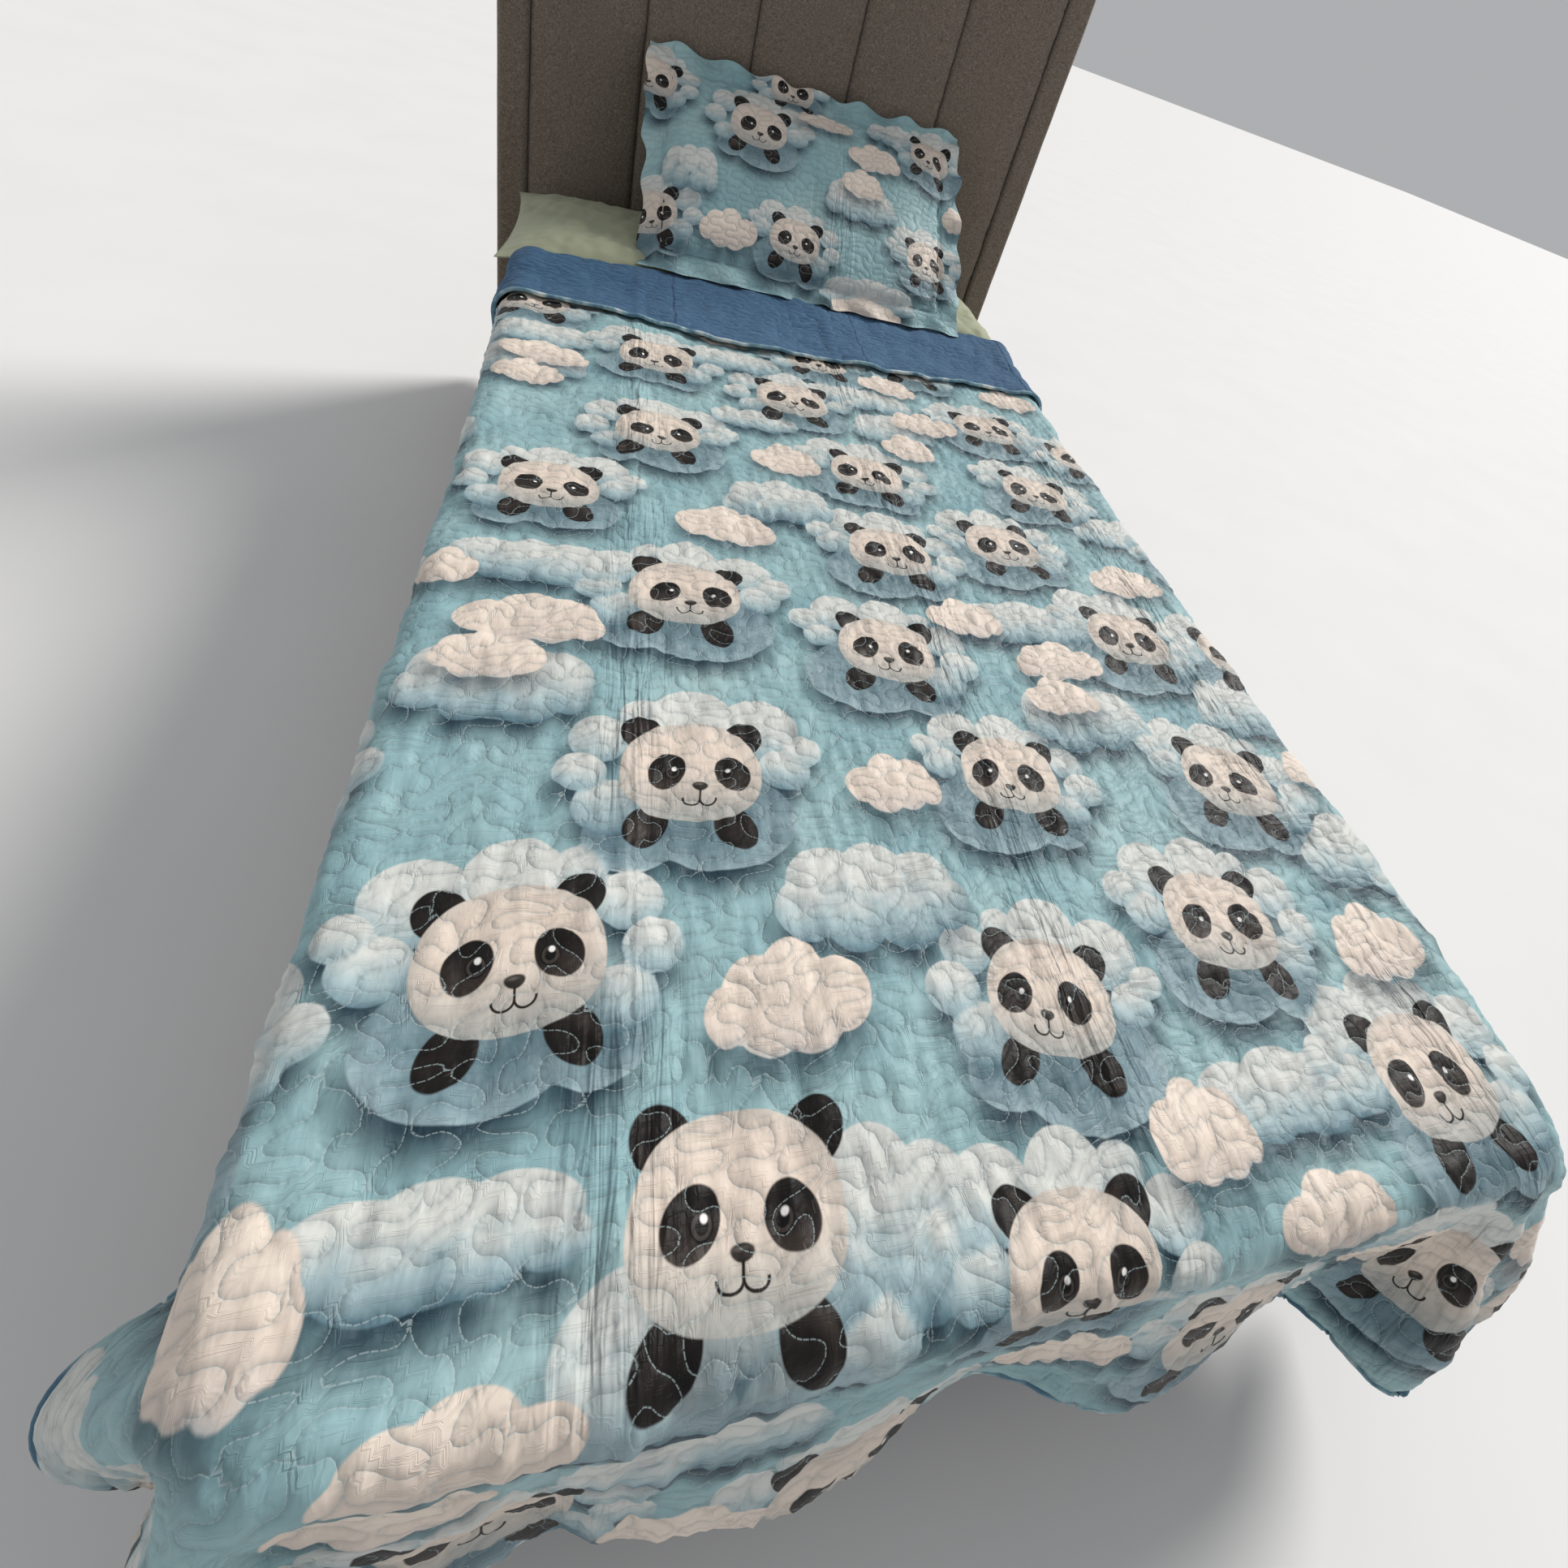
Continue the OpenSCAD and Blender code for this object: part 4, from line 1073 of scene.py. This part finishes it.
def build_quilt():
    quilt = Quilt()
    rows = stitch_rows(QUILT_W + 0.1, QUILT_L, 31)
    us = np.linspace(-QUILT_W / 2, QUILT_W / 2, int(QUILT_W / FINE) + 1)
    obj, face, middle = build_face(quilt, us, rows)
    reverse, band, under_band = build_reverse(quilt, us, rows)
    hem = build_tape("quilt_hem_tape", face, middle, 0.0008, 0.0022)
    band_tape = build_tape("quilt_band_tape", band[::-1], under_band[::-1], 0.001, 0.0036)
    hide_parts("quilt_binding")


# ---- mattress, sheet and long pillow ----


def build_mattress():
    """The mattress, whose lower half mirrors its upper one, with a cord round each edge."""
    low, high = mattress_low + [0.001, 0.001, 0.0005], mattress_high - [0.001, 0.001, 0.003]
    corner, edge = 0.076, 0.006
    middle = (low[2] + high[2]) / 2
    lower, faces = bed_form(high[0] - edge, low[1] + edge, high[1] - edge, corner - edge, edge,
                            high[2], middle)
    upper = lower.copy()
    on_top = upper[:, 2] > high[2] - 1e-6
    upper[:, 2] += 0.0008 * waves(upper[:, 0], upper[:, 1], 0.14, 41) * on_top
    lower[:, 2] = 2 * middle - lower[:, 2]
    obj = tidy(add_mesh("mattress_quilted_cover", np.concatenate([upper, lower]),
                        np.concatenate([faces, faces[:, ::-1] + len(upper)]), TICKING, "bed"))
    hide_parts("mattress_cover", "mattress_core")
    half = (high[:2] - low[:2]) / 2
    t = np.linspace(0, 2 * math.pi, 560, endpoint=False)
    square = np.stack([np.sign(np.cos(t)), np.sign(np.sin(t))], -1) * (half - corner)
    out = np.column_stack([np.cos(t), np.sin(t), 0 * t])
    up = np.tile([0.0, 0.0, 1.0], (len(t), 1))
    for node in ("mattress_piping_lower", "mattress_piping_upper"):
        z = sum(c.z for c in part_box(node)) / 2
        path = np.column_stack([square, np.full(len(t), z)]) + out * corner
        path[:, 1] += (low[1] + high[1]) / 2
        piping = tube(node + "_cord", path, out, up, 0.0028, 0.0028, TICKING, "bed", 8, True)
        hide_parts(node)


def build_sheet():
    low, high = box("fitted_sheet")
    points, faces = bed_form(high[0] - SHEET_EDGE, low[1] + SHEET_EDGE, high[1] - SHEET_EDGE,
                             SHEET_CORNER, SHEET_EDGE, high[2], low[2], step=0.02)
    puckers = smooth(high[2] - points[:, 2], 0.06, 0.18)
    angle = np.arctan2(points[:, 1], points[:, 0] * 2)
    hem = 0.0025 * waves(points[:, 0], points[:, 1], 0.03, 51)
    points[:, 2] += hem * smooth(puckers, 0.9, 1)
    pull = 0.0011 * puckers * (1 + waves(angle * 1.1, 0 * angle, 0.05, 52))
    points[:, :2] *= 1 - pull[:, None]
    obj = add_mesh("fitted_sheet_cotton", points, faces, SAGE, "bed")
    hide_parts("fitted_sheet")


def build_pillow():
    """The long pillow: plump along its middle, with pointed corners and a seam all round."""
    front = FOLD_Y + 0.008
    half_w, half_d = 0.552, (pillow_high[1] - 0.004 - front) / 2
    middle_y = front + half_d
    s, t = np.meshgrid(np.sin(np.linspace(-1, 1, 180) * math.pi / 2),
                       np.sin(np.linspace(-1, 1, 72) * math.pi / 2))
    pull_x = 0.016 * (1 - t ** 2) * np.abs(s) ** 3 * np.sign(s)
    pull_y = 0.012 * (1 - s ** 6) * np.abs(t) ** 3 * np.sign(t)
    x = s * half_w - pull_x
    y = middle_y + t * half_d - pull_y - fold_pull(x - SHIFT) * (1 - t) / 2
    crown = -0.3                        # the pillow is fullest towards its front
    lean = (t - crown) / np.where(t > crown, 1 - crown, 1 + crown)
    full = (np.clip(1 - np.abs(s) ** 3.2, 0, 1) ** 0.62
            * np.clip(1 - np.abs(lean) ** 2.6, 0, 1) ** 0.6)
    creases = 0.0028 * waves(x, y * 0.5, 0.07, 61) + 0.0016 * waves(x, y, 0.035, 62)
    radial = np.abs(s) ** 4 * 0.002 * waves(y, x * 0.2, 0.03, 63)
    seam_z = BED_TOP + 0.014
    fullness = 0.040                    # of its top over the seam
    droop = np.where(x > 0, 0.045, 0.016) * smooth(np.abs(x), BED_HALF - 0.05, half_w + 0.02)
    upper = seam_z + full * fullness + (creases + radial) * np.sqrt(full)
    lower = seam_z - full ** 0.35 * 0.010
    top = np.dstack([x, y, upper - droop])
    bottom = np.dstack([x, y, lower - droop * 0.9])
    faces = np.concatenate([grid_quads(*s.shape), grid_quads(*s.shape, s.size)[:, ::-1]])
    obj = tidy(add_mesh("long_pillow_cotton", np.stack([top, bottom]), faces, SAGE, "bed"), 2e-5)
    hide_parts("pillow_case", "pillow_filling")


# ---- sham ----


def sham_point(x, y, z):
    """From the sham's own frame, with z out of its front, to the bed's."""
    return SHAM_CENTRE + x[..., None] * SHAM_X + y[..., None] * SHAM_Y + z[..., None] * LEAN


def sham_shape(x, y):
    """How full the sham is at a point of its front, 0 at the seam, and how far out on the
    flange the point is, 0 at the seam and 1 at the hem."""
    s, t = np.clip(x / PAD_W, -1, 1), np.clip(y / PAD_H, -1, 1)
    full = np.clip(1 - np.abs(s) ** 3.0, 0, 1) ** 0.6 * np.clip(1 - np.abs(t) ** 2.6, 0, 1) ** 0.58
    out = np.maximum((np.abs(x) - PAD_W) / FLANGE, (np.abs(y) - PAD_H) / FLANGE)
    return full, np.clip(out, 0, 1)


def flange_wave(x, y, out):
    """The flange ripples, most at its hem."""
    round_it = np.where(np.abs(x) / SHAM_W > np.abs(y) / SHAM_H, y, x)
    ripple = 0.6 * np.sin(2 * math.pi * round_it / 0.098 + 1.3 * waves(x, y, 0.5, 71))
    return (ripple + 0.35 * waves(x, y, 0.09, 72)) * 0.015 * out ** 1.2


def hem_shift(x, y, out):
    """The flange's hem swings in and out of line as it ripples."""
    swing = 0.0045 * waves(x, y, 0.075, 73) * out
    shift_x = swing * smooth(np.abs(x), PAD_W, SHAM_W / 2) * np.sign(x)
    shift_y = swing * smooth(np.abs(y), PAD_H, SHAM_H / 2) * np.sign(y)
    return shift_x, shift_y


def flange_set(x, y, z, out):
    """Places points of the sham: its hem swings in and out, its left flange curls back more
    and more towards the bottom, and its lower flange lies on the band."""
    sx, sy = hem_shift(x, y, out)
    past = np.clip(-x - PAD_W, 0, None)
    curl = smooth(-y, -0.30, 0.16) * 1.25
    x = np.where(past > 0, -PAD_W - past * np.sin(curl + 1e-6) / (curl + 1e-6), x)
    z = z - past * (1 - np.cos(curl)) / (curl + 1e-6)
    p = sham_point(x + sx, y + sy, z)
    rest = BED_TOP + 0.004 + RISE + 2 * LOFT + 0.0085
    sink = p[..., 2] < rest
    p[..., 2] = np.where(sink, rest + 0.15 * (p[..., 2] - rest), p[..., 2])
    return p


def build_sham_front():
    """The quilted front with its flange, over the cushion inside."""
    step = 0.004
    xs = np.linspace(-SHAM_W / 2, SHAM_W / 2, int(SHAM_W / step) + 1)
    ys = np.linspace(-SHAM_H / 2, SHAM_H / 2, int(SHAM_H / step) + 1)
    x, y = np.meshgrid(xs, ys)
    full, out = sham_shape(x, y)
    distance, along = stitch_field(x, y + 0.3, stitch_rows(SHAM_W + 0.1, 0.6, 33))
    inside = smooth(full, 0.0, 0.25)
    sag = 0.004 * waves(x, y, 0.22, 74) * inside
    pucker = 0.0022 * waves(x, y, 0.035, 75) * smooth(full, 0.55, 0.0) * (out < 0.01)
    crease = -0.0016 * np.exp(-(x / 0.003) ** 2) - 0.0012 * np.exp(-((x + 0.305) / 0.003) ** 2)
    seam = np.maximum(np.abs(x) - SHAM_W / 2, np.abs(y) - SHAM_H / 2) + FLANGE
    crease = crease - 0.0030 * np.exp(-(seam / 0.006) ** 2)
    body = full * (SHAM_LOFT - 0.004) + sag + pucker + crease
    relief = puff(distance, 0.0020) * (0.35 + 0.65 * inside) * smooth(1 - out, 0.0, 0.12)
    ripple = flange_wave(x, y, out)
    z = body + ripple + relief + 0.0008
    front = add_grid("sham_printed_front", flange_set(x, y, z, out), PRINT, "sham")
    print_layers(front, x, y, *SHAM_PRINT)
    set_pair(front, "stitch", distance, along)
    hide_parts("sham_front", "sham_filling", "sham_ticking")


def build_sham_back():
    """Two panels that overlap across the middle, like an envelope."""
    lap = 0.06
    for name, node, y0, y1, lift in (
            ("sham_printed_back_upper", "sham_back_upper", -lap, PAD_H, 0.0),
            ("sham_printed_back_lower", "sham_back_lower", -PAD_H, lap, 0.0016)):
        x, y = np.meshgrid(np.linspace(-PAD_W, PAD_W, 120), np.linspace(y0, y1, 60))
        full, _ = sham_shape(x * 0.999, y * 0.999)
        z = -full * (SHAM_LOFT - 0.006) - 0.0012 + lift
        z -= 0.0012 * waves(x, y, 0.07, 76) * smooth(full, 0.1, 0.5)
        free = np.abs(y - (y0 if y0 > -PAD_H else y1))
        z -= 0.0012 * waves(x, 0 * y, 0.09, 77) * smooth(free, 0.03, 0.0)
        panel = add_grid(name, sham_point(x, y, z)[:, ::-1], PRINT, "sham")
        print_layers(panel, x[:, ::-1], y[:, ::-1] + 0.02, *SHAM_PRINT)
        set_pair(panel, "stitch", 0 * x + NO_STITCH, 0)
        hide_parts(node)


def build_flange_back():
    """The back layer of the flange, as a ring that follows the same ripples."""
    long_side, short_side = np.linspace(-1, 1, 160), np.linspace(-1, 1, 120)
    half_way = np.concatenate([np.stack([long_side, 0 * long_side - 1], -1),
                               np.stack([0 * short_side + 1, short_side], -1)])
    around = np.concatenate([half_way, -half_way])
    under_seam = 0.004                  # how far the layer goes in past the seam
    inner = np.array([PAD_W, PAD_H]) - under_seam
    shares = np.linspace(0, 1, 6)[:, None, None]
    x, y = np.moveaxis(around * (inner + shares * (FLANGE + under_seam)), -1, 0)
    _, out = sham_shape(x, y)
    points = flange_set(x, y, flange_wave(x, y, out) - 0.0016, out)
    back = tidy(add_grid("sham_flange_back_layer", points[::-1], PRINT, "sham"), 1e-6)
    local = coordinates(back.data) - SHAM_CENTRE
    x, y = local @ SHAM_X, local @ SHAM_Y
    print_layers(back, x, y, *SHAM_PRINT)
    set_pair(back, "stitch", 0 * x + NO_STITCH, 0)
    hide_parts("sham_flange_back")


# ---- headboard and base ----


def build_headboard():
    for k in range(1, 6):
        low, high = box(f"headboard_channel_{k}")

        def channel(p, s, k=k):
            """Crowned across, with fine puckers beside the seams."""
            front = (1 - s[:, 1]) / 2
            seam = np.abs(s[:, 0])
            pucker = smooth(seam, 0.7, 1.0) * waves(0 * p[:, 2], p[:, 2], 0.028, 90 + k)
            soft = 0.0010 * waves(p[:, 0], p[:, 2], 0.13, 80 + k) + 0.0014 * pucker
            p[:, 1] += front * (0.009 * seam ** 2.6 + soft)
            return p

        obj = soft_block(f"padded_channel_{k}", low, high, 0.013, 0.011, WOVEN, "bed", channel)
        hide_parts(f"headboard_channel_{k}")
    for side, name in ((-1, "left"), (1, "right")):
        node = f"headboard_border_{name}"
        low, high = box(node)
        front_high, wrap_low, wrap_high = high.copy(), low.copy(), high.copy()
        front_high[1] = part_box("headboard_channel_1")[1].y
        wrap_low[1] = front_high[1] - 0.004
        if side > 0:
            wrap_low[0] = high[0] - 0.013
        else:
            wrap_high[0] = low[0] + 0.013

        def soft(p, _):
            p[:, 1] += 0.0008 * waves(p[:, 2], p[:, 0], 0.12, 95)
            return p

        obj = soft_block(f"padded_border_{name}", low, front_high, 0.011, 0.012, WOVEN, "bed",
                         soft)
        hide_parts(node)
        turned = soft_block(f"turned_cover_{name}", wrap_low, wrap_high, 0.004, 0.02, WOVEN, "bed")


def build_pads():
    """Flat padded covers: the skirt of the headboard and the three sides of the base."""
    for node, name, r in (("headboard_skirt_pad", "padded_skirt", 0.012),
                          ("base_cover_left", "base_side_cover_left", 0.0038),
                          ("base_cover_right", "base_side_cover_right", 0.0038),
                          ("base_cover_foot", "base_end_cover", 0.0038)):
        low, high = box(node)

        def ease(p, _):
            return p * (1 - 0.0006 * (1 + waves(p[:, 0] + p[:, 1], p[:, 2], 0.16, 97)))[:, None]

        obj = soft_block(name, low, high, r, 0.02, WOVEN, "bed", ease)
        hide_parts(node)


def build_thin_cloths():
    low, high = box("headboard_back_cloth")
    x, z = np.meshgrid(np.linspace(low[0], high[0], 90), np.linspace(low[2], high[2], 60))
    middle = 1 - (2 * (x - low[0]) / (high[0] - low[0]) - 1) ** 6
    y = high[1] - 0.0003 - 0.0008 * middle * (0.6 + 0.4 * waves(x, z, 0.2, 98))
    back = add_grid("back_lining", np.dstack([x, y, z])[:, ::-1], NON_WOVEN, "bed")
    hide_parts("headboard_back_cloth")
    low, high = box("base_dust_cloth")
    x, y = np.meshgrid(np.linspace(low[0], high[0], 70), np.linspace(low[1], high[1], 130))
    near = smooth(np.minimum(np.minimum(x - low[0], high[0] - x),
                             np.minimum(y - low[1], high[1] - y)), 0.0, 0.3)
    z = low[2] - 0.010 * near - 0.001 * near * waves(x, y, 0.25, 99)
    dust = add_grid("underside_lining", np.dstack([x, y, z])[:, ::-1], NON_WOVEN, "bed")
    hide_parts("base_dust_cloth")


def finish_hard_parts():
    """Procedural materials for the CAD nodes that stay."""
    along_x, along_y, along_z = (wood(f"sawn_wood_{a}", k, "#C9A777", "#AD8656")
                                 for k, a in enumerate("xyz"))
    looks = {
        along_x: ["headboard_panel", "headboard_batten_upper", "headboard_batten_lower",
                  "base_board_foot", "base_board_head", "corner_blocks"],
        along_y: ["base_board_left", "base_board_right", "ledger_left", "ledger_right"],
        along_z: ["headboard_post_left", "headboard_post_right"],
        wood("birch_slat", 0, "#DCC294", "#C4A271"): ["slats"],
        plastic("slat_holder_plastic", "#141416", "#2A2A2E"): ["slat_holders"],
        plastic("foot_plastic", "#121213", "#262628"): [
            "foot_front_left", "foot_front_right", "foot_back_left", "foot_back_right"],
        zinc(): ["headboard_bolts", "corner_screws", "foot_studs"],
    }
    for material, nodes in looks.items():
        for node in nodes:
            for slot in frame["nodes"][node].material_slots:
                slot.material = material


# ---- camera, floor and light ----


def build_camera():
    camera = add_object("camera", bpy.data.cameras.new("camera"))
    configure(camera.data, sensor_width=36, lens=18.4, shift_x=-0.066, shift_y=-0.106)
    camera.location = (-0.349, FOOT_Y - 0.057, BED_TOP + 0.593)
    heading, tilt, roll = (math.radians(a) for a in (-26.28, 53.09, 21.37))
    turn = Matrix.Rotation(heading, 4, "Z") @ Matrix.Rotation(tilt, 4, "X")
    camera.rotation_euler = (turn @ Matrix.Rotation(roll, 4, "Z")).to_euler()
    bpy.context.scene.camera = camera


def build_stage():
    s = Shader("pale_floor", Specular_IOR_Level=0.2)
    speck = s.noise(s.place(), 3.0, 3.0)
    base = s.mix(speck, "#E9E9E8", "#F0F0EF")
    far, level = 60, -0.0005
    corners = [(-far, -far, level), (far, -far, level), (far, far, level), (-far, far, level)]
    floor = add_mesh("floor", corners, [(0, 1, 2, 3)], s.finish(base, 0.8))
    world = bpy.data.worlds.new("studio")
    world.use_nodes = True
    sky = world.node_tree.nodes["Background"]
    sky.inputs[0].default_value = (0.96, 0.97, 1.0, 1)
    sky.inputs[1].default_value = 0.44
    bpy.context.scene.world = world
    window = add_object("window", bpy.data.lights.new("window", "SUN"))
    configure(window.data, energy=2.9, angle=0.4, color=(1.0, 0.975, 0.94))
    window.rotation_euler = Vector((2.2, 1.2, 2.0)).to_track_quat("Z", "Y").to_euler()
    bpy.context.scene.view_settings.view_transform = "Standard"


build_camera()
build_stage()
build_quilt()
build_mattress()
build_sheet()
build_pillow()
build_sham_front()
build_sham_back()
build_flange_back()
build_headboard()
build_pads()
build_thin_cloths()
finish_hard_parts()
